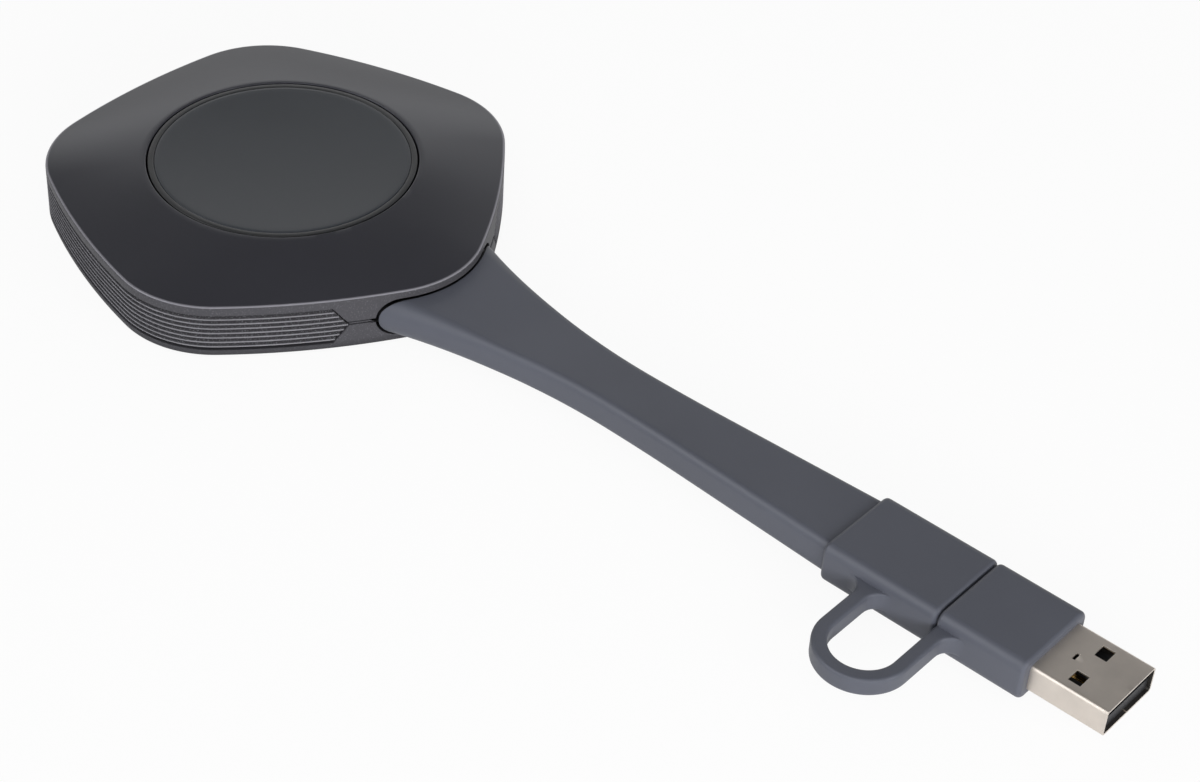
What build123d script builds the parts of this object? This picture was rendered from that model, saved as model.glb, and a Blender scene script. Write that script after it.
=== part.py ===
"""Wireless presentation dongle: a button puck, a soft flat tail and a tethered plug adapter.

Millimetres, +Z up. The origin is on the underside of the base pad, below the button's centre.
+X runs along the tail to the plug.
"""
from build123d import *
from math import atan2, cos, degrees, radians, sin, sqrt
import os

# Puck: a pentagon of five bowed sides and five round corners, one corner at the tail
SIDES = 5
side_apothem = 35.3
corner_proud = 3.3
corner_radius = 17.0
foot_proud = 0.4
wall_height = 9.4
crown_rise = 2.95
wall_thickness = 2.6
top_thickness = 1.5
floor_thickness = 1.6
rim_bevel = 0.3
base_bevel = 0.7
part_gap = 0.24
lip_thickness = 0.7
lip_height = 0.8
lip_clearance = 0.06

# Ribbed grip band let into the wall
band_margin_top = 1.6
band_margin_base = 1.2
band_depth = 1.1
band_gap = 0.15
band_point_half = 16.2
band_shoulder_half = 18.4
rib_count = 7
rib_groove_width = 0.36
rib_groove_depth = 0.4

# Base pad, let into the underside
pad_inset = 4.0
pad_thickness = 1.2
pad_clearance = 0.1
pad_bevel = 0.2

# Button
button_well_radius = 21.9
button_gap = 0.25
light_ring_width = 1.05
button_recess = 0.15
disc_thickness = 0.8
disc_dish = 0.5
disc_rim = 0.6
cap_thickness = 1.2
cap_skirt_depth = 1.2
cap_skirt_thickness = 1.0
button_travel = 0.4
collar_thickness = 1.2
collar_depth = 3.85
well_lip_bevel = 0.2
hook_reach = 0.95
hook_height = 0.95
hook_count = 4
hook_angle = 14.0
hook_clearance = 0.03
spring_count = 3
spring_circle_radius = 13.0
spring_radius = 1.8
spring_wire_radius = 0.2
spring_turns = 5
spring_post_radius = 1.3
spring_post_length = 3.0
press_post_radius = 2.2
touch_gap = 0.02

# Case screws, driven from below under the pad
screw_radius = 1.0
screw_clearance = 0.1
screw_head_radius = 1.9
screw_head_height = 1.1
screw_head_clearance = 0.05
screw_from_side = 6.8
screw_thread_depth = 4.0
pilot_spare = 0.2
boss_radius = 2.6
recess_width = 0.35
recess_depth = 0.5

# Board and what stands on it
board_to_boss = 0.7
board_thickness = 1.0
board_clearance_below = 1.6
standoff_radius = 2.2
standoff_from_edge = 4.2
standoff_count = 3
small_screw_radius = 0.7
small_screw_head_radius = 1.5
small_screw_head_height = 0.8
small_thread_depth = 1.2
pilot_floor = 0.2
switch_size = 6.0
switch_height = 3.4
plunger_radius = 1.65
plunger_proud = 0.9
plunger_depth = 1.7
plunger_clearance = 0.08
led_count = 8
led_size = (0.8, 1.6, 0.6)
radio_board_size = (11.0, 9.0, 0.8)
radio_place = (-8.0, 10.0)
radio_chip_size = (5.0, 5.0, 0.9)
shield_size = (10.0, 8.0, 1.6)
shield_wall = 0.2
memory_size = (8.0, 6.0, 1.0)
memory_place = (-8.0, -10.5)
processor_size = (11.0, 11.0, 0.9)
processor_place = (3.0, 0.0)
heat_plate_size = (28.0, 15.0, 0.3)
coil_size = (3.0, 3.0, 1.5)
coil_places = ((11.5, 3.6), (11.5, -3.6), (13.5, 9.5))
capacitor_size = (0.8, 1.6, 0.8)
capacitor_count = 6
capacitor_start = (-1.5, -15.5)
capacitor_pitch = 2.0
antenna_size = (4.0, 12.0, 0.8)
antenna_from_corner = 9.1
lead_radius = 0.55
lead_bend_radius = 1.6
lead_straight = 3.5
lead_edge_margin = 2.0

# Tail strap
opening_half_width = 12.8
opening_height = 6.8
opening_clearance = 0.2
strap_root_back = 6.6
strap_root_length = 2.0
strap_waist_x = 74.0
strap_waist_half = 5.3
strap_swell_radius = 360.0
strap_swell_length = 15.0
strap_thin_x = 56.0
strap_waist_thickness = 5.0
strap_end_thickness = 5.8
strap_root_flat = 0.2
strap_end_round = 1.3
strap_straight_end = 3.0
strap_loft_steps = 10
tongue_start_back = 12.1
tongue_inset = 0.8
tongue_thickness = 4.4
tongue_post_back = 9.6
tongue_post_y = 9.5
tongue_post_radius = 1.7
tongue_hole_clearance = 0.1
post_foot_radius = 2.8
clamp_width = 3.2
clamp_thickness = 0.9
clamp_overhang = 1.5
core_width = 8.0
core_thickness = 0.6
connector_size = (5.5, 10.0, 1.6)
connector_start_back = 21.6
connector_grip = 4.0

# Plug sleeve at the strap's end
sleeve_start_x = 116.6
sleeve_length = 19.4
block_width = 15.5
block_thickness = 6.9
block_round = 1.6
block_end_round = 0.5
strap_in_sleeve = 2.0
neck_length = 2.9
neck_width = 10.6
neck_thickness = 4.4
sleeve_core_width = 12.4
sleeve_core_thickness = 5.0
sleeve_core_round = 0.8
sleeve_end_wall = 0.7
board_room_spare = 0.4
board_room_height = 2.8
block_gap = 0.2

# USB-C plug and socket, standard sizes
c_plug_width = 8.25
c_plug_height = 2.4
c_plug_reach = 6.65
c_plug_wall = 0.3
c_plug_root = 5.5
c_slot_width = 6.9
c_slot_height = 0.95
c_slot_floor = 0.9
c_lip_set_back = 0.3
c_contact_count = 12
c_contact_pitch = 0.5
c_contact_width = 0.26
c_contact_thickness = 0.12
c_board_length = 8.8
c_board_width = 9.0
c_board_thickness = 0.8
c_fit_clearance = 0.06
c_socket_wall = 0.3
c_tongue_width = 6.69
c_tongue_thickness = 0.7
c_tongue_set_back = 1.2
c_tongue_base = 1.25
c_bottom_clearance = 0.1

# Adapter block
adapter_length = 14.4
adapter_end_wall = 0.6
adapter_core_half_width = 6.4
adapter_core_half_height = 2.75
adapter_board_length = 3.4
adapter_board_width = 10.0
adapter_board_thickness = 0.8
adapter_room_height = 3.6

# USB-A plug, standard sizes
a_plug_width = 12.0
a_plug_height = 4.5
a_plug_wall = 0.3
a_plug_round = 0.5
a_plug_reach = 12.2
a_window_from_tip = 6.4
a_window_y = 3.2
a_window_length = 2.0
a_window_width = 2.4
a_slot_from_tip = 9.2
a_slot_length = 0.5
a_slot_width = 1.4
a_base_length = 4.0
a_tongue_thickness = 1.85
a_tongue_set_back = 0.6
a_contact_inner_y = 1.0
a_contact_outer_y = 3.5
a_contact_width = 1.0
a_contact_thickness = 0.2
a_contact_proud = 0.05
a_inner_set_back = 1.6
a_outer_set_back = 0.6

# Tether loop on the side of the two blocks
loop_from_sleeve_start = 7.4
loop_band = 2.3
loop_height = 3.0
loop_reach = 16.85
loop_round = 0.5
loop_foot_round = 2.6
loop_right_clearance = 0.05

# Cutting tools run this far past what they cut
over = 1.0

# Heights that follow from the sizes above
z_base = foot_proud
z_floor = z_base + floor_thickness
z_part = z_base + wall_height / 2
z_rim = z_base + wall_height
z_crown = z_rim + crown_rise
z_button = z_crown - button_recess
z_cap_top = z_button - disc_thickness
z_cap_under = z_cap_top - cap_thickness
z_collar = z_crown - collar_depth
z_hook_top = z_collar - hook_clearance
z_hook_low = z_hook_top - hook_height
z_board = z_floor + board_clearance_below
z_board_top = z_board + board_thickness
z_switch_top = z_board_top + switch_height
z_plunger_top = z_switch_top + plunger_proud
z_radio_top = z_board_top + radio_board_size[2]
z_lead = z_radio_top + shield_size[2] / 2
z_heat_plate_top = z_floor + heat_plate_size[2]
z_processor_low = z_board - processor_size[2]
z_seat = pad_thickness + screw_head_clearance + screw_head_height
z_lip_low = z_part - part_gap / 2
z_cover_low = z_part + part_gap / 2
tail_z = z_part
z_tongue_low = tail_z - tongue_thickness / 2
z_tongue_top = tail_z + tongue_thickness / 2
z_clamp_top = z_tongue_top + clamp_thickness
band_low = z_base + band_margin_base
band_high = z_rim - band_margin_top

# Places along the tail that follow from the sizes above
corner_reach = side_apothem + corner_proud
connector_start_x = corner_reach - connector_start_back
tongue_start_x = corner_reach - tongue_start_back
tongue_post_x = corner_reach - tongue_post_back
strap_root_x = corner_reach - strap_root_back
strap_flare_start_x = strap_root_x + strap_root_length
strap_end_x = sleeve_start_x + strap_in_sleeve
neck_end_x = strap_end_x + neck_length
sleeve_end_x = sleeve_start_x + sleeve_length
sleeve_core_end_x = sleeve_end_x - sleeve_end_wall
adapter_start_x = sleeve_end_x + block_gap
loop_left_x = sleeve_start_x + loop_from_sleeve_start
adapter_end_x = adapter_start_x + adapter_length
adapter_core_start_x = adapter_start_x + adapter_end_wall
adapter_core_end_x = adapter_end_x - adapter_end_wall
plug_tip_x = adapter_end_x + a_plug_reach
c_tip_x = sleeve_end_x + c_plug_reach
c_root_x = sleeve_end_x - c_plug_root
c_board_start_x = c_root_x - c_board_length
socket_inner_width = c_plug_width + 2 * c_fit_clearance
socket_inner_height = c_plug_height + 2 * c_fit_clearance
socket_outer_width = socket_inner_width + 2 * c_socket_wall
socket_outer_height = socket_inner_height + 2 * c_socket_wall
socket_base_x = c_tip_x + c_bottom_clearance
socket_end_x = socket_base_x + c_tongue_base
a_root_x = socket_end_x + adapter_board_length
a_base_end_x = a_root_x + a_base_length
a_inner_width = a_plug_width - 2 * a_plug_wall
a_inner_height = a_plug_height - 2 * a_plug_wall
a_inner_round = a_plug_round - a_plug_wall
a_tongue_low = tail_z - a_inner_height / 2
a_tongue_top = a_tongue_low + a_tongue_thickness
a_tongue_end_x = plug_tip_x - a_tongue_set_back

# Widths and radii that follow from the sizes above
button_radius = button_well_radius - button_gap
cap_radius = button_radius - light_ring_width
collar_radius = button_well_radius + collar_thickness
led_circle_radius = (button_radius + cap_radius) / 2
screw_circle_radius = side_apothem - screw_from_side
board_radius = screw_circle_radius - boss_radius - board_to_boss
standoff_circle_radius = board_radius - standoff_from_edge
antenna_circle_radius = corner_reach - antenna_from_corner
tongue_half_width = opening_half_width - tongue_inset
strap_root_half = opening_half_width - opening_clearance
strap_root_thickness = opening_height - 2 * opening_clearance
strap_root_round = (strap_root_thickness - strap_root_flat) / 2
strap_flare_run = strap_waist_x - strap_flare_start_x
strap_flare_gain = strap_root_half - strap_waist_half
strap_flare_radius = (strap_flare_run**2 + strap_flare_gain**2) / (2 * strap_flare_gain)

# Circle geometry of the puck's outline
corner_centre = corner_reach - corner_radius
half_turn = 180 / SIDES
side_run = side_apothem - corner_radius
side_back = (side_run**2 - corner_centre**2) / (2 * (corner_centre * cos(radians(half_turn)) - side_run))
side_bow = 1 if side_apothem + side_back > 0 else -1


def polar(radius, angle):
    """A point at a radius and an angle in degrees."""
    return Vector(radius * cos(radians(angle)), radius * sin(radians(angle)))


def spread(count, start=0.0):
    """Evenly spaced angles round a full turn."""
    return [start + 360 * k / count for k in range(count)]


def corner_joins(angle, inset):
    """Where one corner arc meets the side arcs before and after it."""
    centre = polar(corner_centre, angle)
    joins = []
    for side_angle in (angle - half_turn, angle + half_turn):
        away = (centre - polar(-side_back, side_angle)) * side_bow
        joins.append(centre + away.normalized() * (corner_radius - inset))
    return joins


def ring_face(joins, middles, z):
    """A face bounded by arcs that run from join to join through the middles."""
    edges = []
    for k, middle in enumerate(middles):
        start = joins[k]
        end = joins[(k + 1) % len(joins)]
        edges.append(ThreePointArc(start, middle, end))
    return Pos(0, 0, z) * Face(Wire(edges))


def puck_face(inset, z):
    """The puck's outline, drawn in by an inset, as a face at a height."""
    joins = []
    middles = []
    for angle in spread(SIDES):
        joins += corner_joins(angle, inset)
        middles.append(polar(corner_reach - inset, angle))
        middles.append(polar(side_apothem - inset, angle + half_turn))
    return ring_face(joins, middles, z)


def round_face(radius, z):
    """A circle in ten arcs that match the puck's outline, as a face at a height."""
    join = corner_joins(0, 0)[1]
    join_angle = degrees(atan2(join.Y, join.X))
    joins = []
    middles = []
    for angle in spread(SIDES):
        joins += [polar(radius, angle - join_angle), polar(radius, angle + join_angle)]
        middles += [polar(radius, angle), polar(radius, angle + half_turn)]
    return ring_face(joins, middles, z)


def slab(inset, low, high):
    """The puck's outline as an upright block."""
    return extrude(puck_face(inset, low), high - low, dir=(0, 0, 1))


def band_ring(outer_inset, inner_inset, low, high):
    """A band that follows the puck's outline between two insets."""
    return slab(outer_inset, low, high) - slab(inner_inset, low - over, high + over)


def disc(radius, low, high, place=(0.0, 0.0)):
    """An upright cylinder between two heights."""
    return Pos(place[0], place[1], (low + high) / 2) * Cylinder(radius, high - low)


def block(x0, x1, y0, y1, low, high):
    """A box between three pairs of planes."""
    middle = Pos((x0 + x1) / 2, (y0 + y1) / 2, (low + high) / 2)
    return middle * Box(x1 - x0, y1 - y0, high - low)


def chip(size, place, low):
    """A part of a given length, width and height, standing at a place."""
    return Pos(place[0], place[1], low + size[2] / 2) * Box(*size)


def tail_plane(x):
    """The plane square to the tail at x, with its first axis along +Y."""
    return Plane(origin=(x, 0, tail_z), x_dir=(0, 1, 0), z_dir=(1, 0, 0))


def slot_bar(width, height, x0, x1):
    """A bar with full round sides along the tail."""
    return extrude(tail_plane(x0) * SlotOverall(width, height), x1 - x0)


def round_bar(width, height, radius, x0, x1):
    """A bar with rounded long edges along the tail."""
    return extrude(tail_plane(x0) * RectangleRounded(width, height, radius), x1 - x0)


def tail_box(x0, x1, width, height):
    """A plain box centred on the tail."""
    return block(x0, x1, -width / 2, width / 2, tail_z - height / 2, tail_z + height / 2)


def flat_places(points):
    """Points as plain pairs of x and y."""
    return [(point.X, point.Y) for point in points]


def screw_places():
    """Case screws stand at the middle of each side."""
    return flat_places(polar(screw_circle_radius, angle) for angle in spread(SIDES, half_turn))


def board_screw_places():
    """Board screws stand on three standoffs."""
    return flat_places(polar(standoff_circle_radius, angle) for angle in spread(standoff_count, 90))


def spring_places():
    """Springs stand evenly round the switch."""
    return flat_places(polar(spring_circle_radius, angle) for angle in spread(spring_count, 60))


def post_places():
    """Two posts hold the strap's tongue."""
    return [(tongue_post_x, -tongue_post_y), (tongue_post_x, tongue_post_y)]


def cross_recess(half_length, low, high, place):
    """The cross that a driver turns."""
    x, y = place
    half = recess_width / 2
    along = block(x - half_length, x + half_length, y - half, y + half, low, high)
    across = block(x - half, x + half, y - half_length, y + half_length, low, high)
    return along + across


def small_screw(place, seat, plate):
    """A small screw whose head sits on a plate, with its thread below the plate."""
    head = disc(small_screw_head_radius, seat, seat + small_screw_head_height, place)
    shank = disc(small_screw_radius, seat - plate - small_thread_depth, seat, place)
    head_top = seat + small_screw_head_height
    cross = cross_recess(small_screw_radius, head_top - recess_depth, head_top + over, place)
    return head + shank - cross


def front_opening(spare):
    """The stretch of wall at the tail that the grip band leaves free, with its hollow ends."""
    middle = (band_low + band_high) / 2
    low = band_low - over
    high = band_high + over
    slope = (band_shoulder_half - band_point_half) / (band_high - middle)
    point_half = band_point_half + spare
    end_half = point_half + slope * (high - middle)
    corners = [
        (end_half, high),
        (point_half, middle),
        (end_half, low),
        (-end_half, low),
        (-point_half, middle),
        (-end_half, high),
    ]
    outline = Plane.YZ * make_face(Polyline(*corners, close=True))
    return extrude(outline, 2 * corner_reach, dir=(1, 0, 0))


def cover_groove():
    """The groove that holds the grip band."""
    return band_ring(-over, band_depth, band_low, band_high) - front_opening(0)


def tail_opening():
    """The opening in the wall that the strap comes out of."""
    start = tongue_start_x - opening_clearance
    return slot_bar(2 * opening_half_width, opening_height, start, corner_reach + over)


def make_top_cover():
    """The upper shell: outer wall, crowned top, the button's well and collar, and screw bosses."""
    wall = slab(0, z_cover_low, z_rim - rim_bevel)
    bevel = loft([puck_face(0, z_rim - rim_bevel), puck_face(rim_bevel, z_rim)], ruled=True)
    crown = loft([puck_face(rim_bevel, z_rim), round_face(button_well_radius, z_crown)], ruled=True)
    outside = wall + bevel + crown
    crown_slope = crown_rise / (side_apothem - button_well_radius)
    z_ceiling = z_rim + crown_slope * wall_thickness - top_thickness
    room = slab(wall_thickness, z_cover_low - over, z_ceiling)
    inner_edge = puck_face(wall_thickness, z_ceiling)
    inner_mouth = round_face(collar_radius, z_crown - top_thickness)
    shell = outside - room - loft([inner_edge, inner_mouth], ruled=True)
    collar = disc(collar_radius, z_collar, z_crown - collar_thickness * crown_slope - well_lip_bevel)
    bosses = [disc(boss_radius, z_part, z_crown, place) for place in screw_places()]
    reach = outside + slab(wall_thickness, z_part, z_cover_low)
    shell = shell + collar + (Part() + bosses) & reach
    well = disc(button_well_radius, z_base, z_crown + over)
    lip = loft(
        [
            round_face(button_well_radius, z_crown - well_lip_bevel),
            round_face(button_well_radius + well_lip_bevel + over, z_crown + over),
        ],
        ruled=True,
    )
    lip_room = band_ring(
        wall_thickness - lip_thickness - lip_clearance,
        wall_thickness,
        z_base,
        z_part + lip_height + lip_clearance,
    )
    shell = shell - well - lip - lip_room - cover_groove() - tail_opening()
    pilot_top = z_part + screw_thread_depth + pilot_spare
    pilots = [disc(screw_radius, z_part - over, pilot_top, place) for place in screw_places()]
    return shell - pilots


def make_bottom_cover():
    """The lower shell: floor, wall with its lip, screw bosses, standoffs and the strap's posts."""
    foot = loft([puck_face(base_bevel, z_base), puck_face(0, z_base + base_bevel)], ruled=True)
    wall = slab(0, z_base + base_bevel, z_lip_low)
    shell = foot + wall - slab(wall_thickness, z_floor, z_part + over)
    shell = shell + band_ring(wall_thickness - lip_thickness, wall_thickness, z_floor, z_part + lip_height)
    shell = shell - cover_groove() - tail_opening()
    shell = shell - slab(pad_inset, z_base - over, pad_thickness)
    bosses = [disc(boss_radius, pad_thickness, z_part, place) for place in screw_places()]
    standoffs = [disc(standoff_radius, pad_thickness, z_board, place) for place in board_screw_places()]
    feet = [disc(post_foot_radius, pad_thickness, z_tongue_low, place) for place in post_places()]
    posts = [disc(tongue_post_radius, pad_thickness, z_tongue_top, place) for place in post_places()]
    shell = shell + bosses + standoffs + feet + posts
    head_room = screw_head_radius + screw_clearance
    for place in screw_places():
        shell = shell - disc(head_room, z_base, z_seat, place)
        shell = shell - disc(screw_radius + screw_clearance, z_base, z_part + over, place)
    for place in board_screw_places():
        shell = shell - disc(small_screw_radius, z_floor + pilot_floor, z_board + over, place)
    for place in post_places():
        pilot_low = z_tongue_top - small_thread_depth - pilot_floor
        shell = shell - disc(small_screw_radius, pilot_low, z_tongue_top + over, place)
    return shell


def make_grip_band():
    """The soft band round the wall, with ribs between its grooves."""
    band = band_ring(0, band_depth, band_low, band_high) - front_opening(band_gap)
    pitch = (band_high - band_low) / rib_count
    for k in range(1, rib_count):
        middle = band_low + k * pitch
        low = middle - rib_groove_width / 2
        band = band - band_ring(-over, rib_groove_depth, low, low + rib_groove_width)
    return band


def make_base_pad():
    """The soft pad that the puck stands on."""
    inset = pad_inset + pad_clearance
    edge = loft([puck_face(inset + pad_bevel, 0), puck_face(inset, pad_bevel)], ruled=True)
    return edge + slab(inset, pad_bevel, pad_thickness)


def make_case_screws():
    """Five screws that pull the covers together."""
    z_head_low = z_seat - screw_head_height
    screws = []
    for place in screw_places():
        head = disc(screw_head_radius, z_head_low, z_seat, place)
        shank = disc(screw_radius, z_seat, z_part + screw_thread_depth, place)
        cross = cross_recess(screw_radius, z_head_low - over, z_head_low + recess_depth, place)
        screws.append(head + shank - cross)
    return Part() + screws


def make_button_disc():
    """The button's face plate, dished a little."""
    edge = cap_radius - disc_rim
    ball_radius = (edge**2 + disc_dish**2) / (2 * disc_dish)
    ball = Pos(0, 0, z_button - disc_dish + ball_radius) * Sphere(ball_radius)
    return disc(cap_radius, z_cap_top, z_button) - ball


def make_button_cap():
    """The carrier under the face plate, with its skirt, the press post and the spring posts."""
    plate = disc(cap_radius, z_cap_under, z_cap_top)
    skirt_low = z_cap_under - cap_skirt_depth
    skirt = disc(cap_radius, skirt_low, z_cap_under)
    skirt = skirt - disc(cap_radius - cap_skirt_thickness, skirt_low - over, z_cap_under)
    press_post = disc(press_post_radius, z_plunger_top + touch_gap, z_cap_under)
    post_low = z_cap_under - spring_post_length
    posts = [disc(spring_post_radius, post_low, z_cap_under, place) for place in spring_places()]
    return plate + skirt + press_post + posts


def make_light_ring():
    """The ring round the button that spreads the light, with hooks that catch the collar."""
    ring = disc(button_radius, z_hook_low, z_button) - disc(cap_radius, z_base, z_crown)
    hook_radius = button_radius + hook_reach
    hook_ring = disc(hook_radius, z_hook_low, z_hook_top) - disc(cap_radius, z_base, z_crown)
    wedges = []
    for angle in spread(hook_count, 45):
        left = polar(2 * hook_radius, angle - hook_angle / 2)
        right = polar(2 * hook_radius, angle + hook_angle / 2)
        wedge = Pos(0, 0, z_hook_low) * make_face(Polyline((0, 0), left, right, close=True))
        wedges.append(extrude(wedge, hook_height, dir=(0, 0, 1)))
    return ring + (hook_ring & (Part() + wedges))


def make_return_springs():
    """Three coil springs that lift the button."""
    low = z_board_top + spring_wire_radius
    height = z_cap_under - spring_wire_radius - low
    springs = []
    for place in spring_places():
        path = Pos(place[0], place[1], low) * Helix(height / spring_turns, height, spring_radius)
        section = Plane(origin=path @ 0, z_dir=path % 0) * Circle(spring_wire_radius)
        springs.append(sweep(section, path=path, is_frenet=True))
    return Part() + springs


def make_switch_body():
    """The switch under the button."""
    body = chip((switch_size, switch_size, switch_height), (0, 0), z_board_top)
    hole_low = z_switch_top - plunger_depth - button_travel - touch_gap
    return body - disc(plunger_radius + plunger_clearance, hole_low, z_switch_top + over)


def make_switch_plunger():
    """The part of the switch that the button pushes."""
    return disc(plunger_radius, z_switch_top - plunger_depth, z_plunger_top)


def make_main_board():
    """The round circuit board."""
    board = disc(board_radius, z_board, z_board_top)
    hole_radius = small_screw_radius + screw_clearance
    holes = [disc(hole_radius, z_board - over, z_board_top + over, p) for p in board_screw_places()]
    return board - holes


def make_board_screws():
    """Three screws that hold the board on its standoffs."""
    return Part() + [small_screw(place, z_board_top, board_thickness) for place in board_screw_places()]


def make_status_leds():
    """Lamps that stand under the light ring."""
    lamp = chip(led_size, (led_circle_radius, 0), z_board_top)
    return Part() + [Rot(0, 0, angle) * lamp for angle in spread(led_count, 180 / led_count)]


def make_radio_board():
    """The small board of the radio."""
    return chip(radio_board_size, radio_place, z_board_top)


def make_radio_chip():
    """The radio chip under the shield."""
    return chip(radio_chip_size, radio_place, z_radio_top)


def make_radio_shield():
    """The sheet can over the radio chip."""
    length, width, height = shield_size
    inside = (length - 2 * shield_wall, width - 2 * shield_wall, height - shield_wall)
    return chip(shield_size, radio_place, z_radio_top) - chip(inside, radio_place, z_radio_top)


def make_memory_chip():
    """The memory chip."""
    return chip(memory_size, memory_place, z_board_top)


def make_processor_chip():
    """The processor, on the underside of the board."""
    return chip(processor_size, processor_place, z_processor_low)


def make_thermal_pad():
    """The soft pad that carries the processor's heat to the plate."""
    size = (processor_size[0], processor_size[1], z_processor_low - z_heat_plate_top)
    return chip(size, processor_place, z_heat_plate_top)


def make_heat_plate():
    """The thin plate on the floor that spreads the heat."""
    return chip(heat_plate_size, (0, 0), z_floor)


def make_power_coils():
    """The coils of the power supply."""
    return Part() + [chip(coil_size, place, z_board_top) for place in coil_places]


def make_capacitors():
    """A row of small capacitors."""
    x, y = capacitor_start
    places = [(x + k * capacitor_pitch, y) for k in range(capacitor_count)]
    return Part() + [chip(capacitor_size, place, z_board_top) for place in places]


def antenna_angles():
    """The antennas lie in the two corners next to the radio."""
    return [2 * half_turn, 4 * half_turn]


def make_antennas():
    """Two strip antennas on the floor."""
    strip = chip(antenna_size, (antenna_circle_radius, 0), z_floor)
    return Part() + [Rot(0, 0, angle) * strip for angle in antenna_angles()]


def make_antenna_leads():
    """Two thin leads from the radio's shield, over the edge of the board, down to the antennas."""
    x, y = radio_place
    side_y = y + shield_size[1] / 2
    side_x = x - shield_size[0] / 2
    near_x = x + shield_size[0] / 2 - lead_edge_margin
    near_y = side_y - lead_edge_margin
    starts = [
        [(near_x, side_y), (near_x, side_y + lead_straight)],
        [(side_x, near_y), (side_x - lead_straight, near_y)],
    ]
    leads = []
    for start, angle in zip(starts, antenna_angles()):
        foot = polar(antenna_circle_radius, angle)
        points = [Vector(px, py, z_lead) for px, py in start]
        points.append(Vector(foot.X, foot.Y, z_lead))
        points.append(Vector(foot.X, foot.Y, z_floor + antenna_size[2]))
        path = FilletPolyline(*points, radius=lead_bend_radius)
        section = Plane(origin=path @ 0, z_dir=path % 0) * Circle(lead_radius)
        leads.append(sweep(section, path=path))
    return Part() + leads


def make_tail_core():
    """The flat printed lead that runs inside the strap."""
    core_start_x = connector_start_x + connector_size[0] - connector_grip
    return tail_box(core_start_x, c_board_start_x, core_width, core_thickness)


def make_tail_connector():
    """The connector that the flat lead plugs into."""
    place = (connector_start_x + connector_size[0] / 2, 0)
    return chip(connector_size, place, z_board_top) - make_tail_core()


def strap_half(x):
    """Half the strap's width: an arc from the puck to the waist, then a slow swell."""
    run = x - strap_waist_x
    if run < 0:
        reach = min(-run, strap_flare_run)
        return strap_waist_half + strap_flare_radius - sqrt(strap_flare_radius**2 - reach**2)
    bend = min(run, strap_swell_length)
    rise = strap_swell_radius - sqrt(strap_swell_radius**2 - bend**2)
    slope = strap_swell_length / sqrt(strap_swell_radius**2 - strap_swell_length**2)
    return strap_waist_half + rise + slope * (run - bend)


def strap_face(x):
    """The strap's cross section: thick and full round at the puck, flat along the tail."""
    share = (x - strap_flare_start_x) / (strap_thin_x - strap_flare_start_x)
    share = min(max(share, 0), 1)
    blend = share * share * (3 - 2 * share)
    late = max((x - strap_thin_x) / (strap_end_x - strap_thin_x), 0)
    thickness = strap_root_thickness + blend * (strap_waist_thickness - strap_root_thickness)
    thickness += late * (strap_end_thickness - strap_waist_thickness)
    rounding = strap_root_round + blend * (strap_end_round - strap_root_round)
    return tail_plane(x) * RectangleRounded(2 * strap_half(x), thickness, rounding)


def strap_end_bar():
    """The last, even stretch of the strap, which the sleeve grips."""
    start = strap_end_x - strap_straight_end
    return extrude(strap_face(start), strap_straight_end)


def make_tail_strap():
    """The flat soft tail, with a tongue in the puck and a neck in the sleeve."""
    tongue = slot_bar(2 * tongue_half_width, tongue_thickness, tongue_start_x, strap_root_x)
    hole_radius = tongue_post_radius + tongue_hole_clearance
    holes = [disc(hole_radius, z_base, z_rim, place) for place in post_places()]
    root = extrude(strap_face(strap_flare_start_x), strap_root_x - strap_flare_start_x)
    loft_run = strap_end_x - strap_straight_end - strap_flare_start_x
    shares = [k / strap_loft_steps for k in range(strap_loft_steps + 1)]
    tail = loft([strap_face(strap_flare_start_x + share * loft_run) for share in shares])
    neck = tail_box(strap_end_x, neck_end_x, neck_width, neck_thickness)
    channel = tail_box(tongue_start_x - over, neck_end_x + over, core_width, core_thickness)
    return (tongue - holes) + root + tail + strap_end_bar() + neck - channel


def make_tail_clamp():
    """The bar that holds the strap's tongue down."""
    x0 = tongue_post_x - clamp_width / 2
    half = tongue_post_y + clamp_overhang
    bar = block(x0, x0 + clamp_width, -half, half, z_tongue_top, z_clamp_top)
    hole_radius = small_screw_radius + screw_clearance
    return bar - [disc(hole_radius, z_tongue_top - over, z_clamp_top + over, p) for p in post_places()]


def make_clamp_screws():
    """Two screws that hold the clamp on its posts."""
    return Part() + [small_screw(place, z_clamp_top, clamp_thickness) for place in post_places()]


def end_rounded_bar(x0, x1):
    """A soft block of the tail's end: rounded along and at both ends."""
    bar = round_bar(block_width, block_thickness, block_round, x0, x1)
    ends = bar.faces().sort_by(Axis.X)
    return fillet(ends[0].edges() + ends[-1].edges(), block_end_round)


def sleeve_core_bar():
    """The outside of the hard core in the sleeve."""
    return round_bar(
        sleeve_core_width, sleeve_core_thickness, sleeve_core_round, strap_end_x, sleeve_core_end_x
    )


def c_plug_bar(x0, x1):
    """The outside of the USB-C plug."""
    return slot_bar(c_plug_width, c_plug_height, x0, x1)


def make_plug_sleeve():
    """The soft block at the strap's end."""
    sleeve = end_rounded_bar(sleeve_start_x, sleeve_end_x)
    return sleeve - strap_end_bar() - sleeve_core_bar() - c_plug_bar(sleeve_core_end_x, sleeve_end_x)


def make_sleeve_core():
    """The hard core that holds the plug's board."""
    neck = tail_box(strap_end_x, neck_end_x, neck_width, neck_thickness)
    room = tail_box(neck_end_x, c_root_x, c_board_width + board_room_spare, board_room_height)
    return sleeve_core_bar() - neck - room - c_plug_bar(c_root_x, sleeve_core_end_x)


def make_c_plug_board():
    """The small board that the plug is soldered to."""
    return tail_box(c_board_start_x, c_root_x, c_board_width, c_board_thickness)


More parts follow.
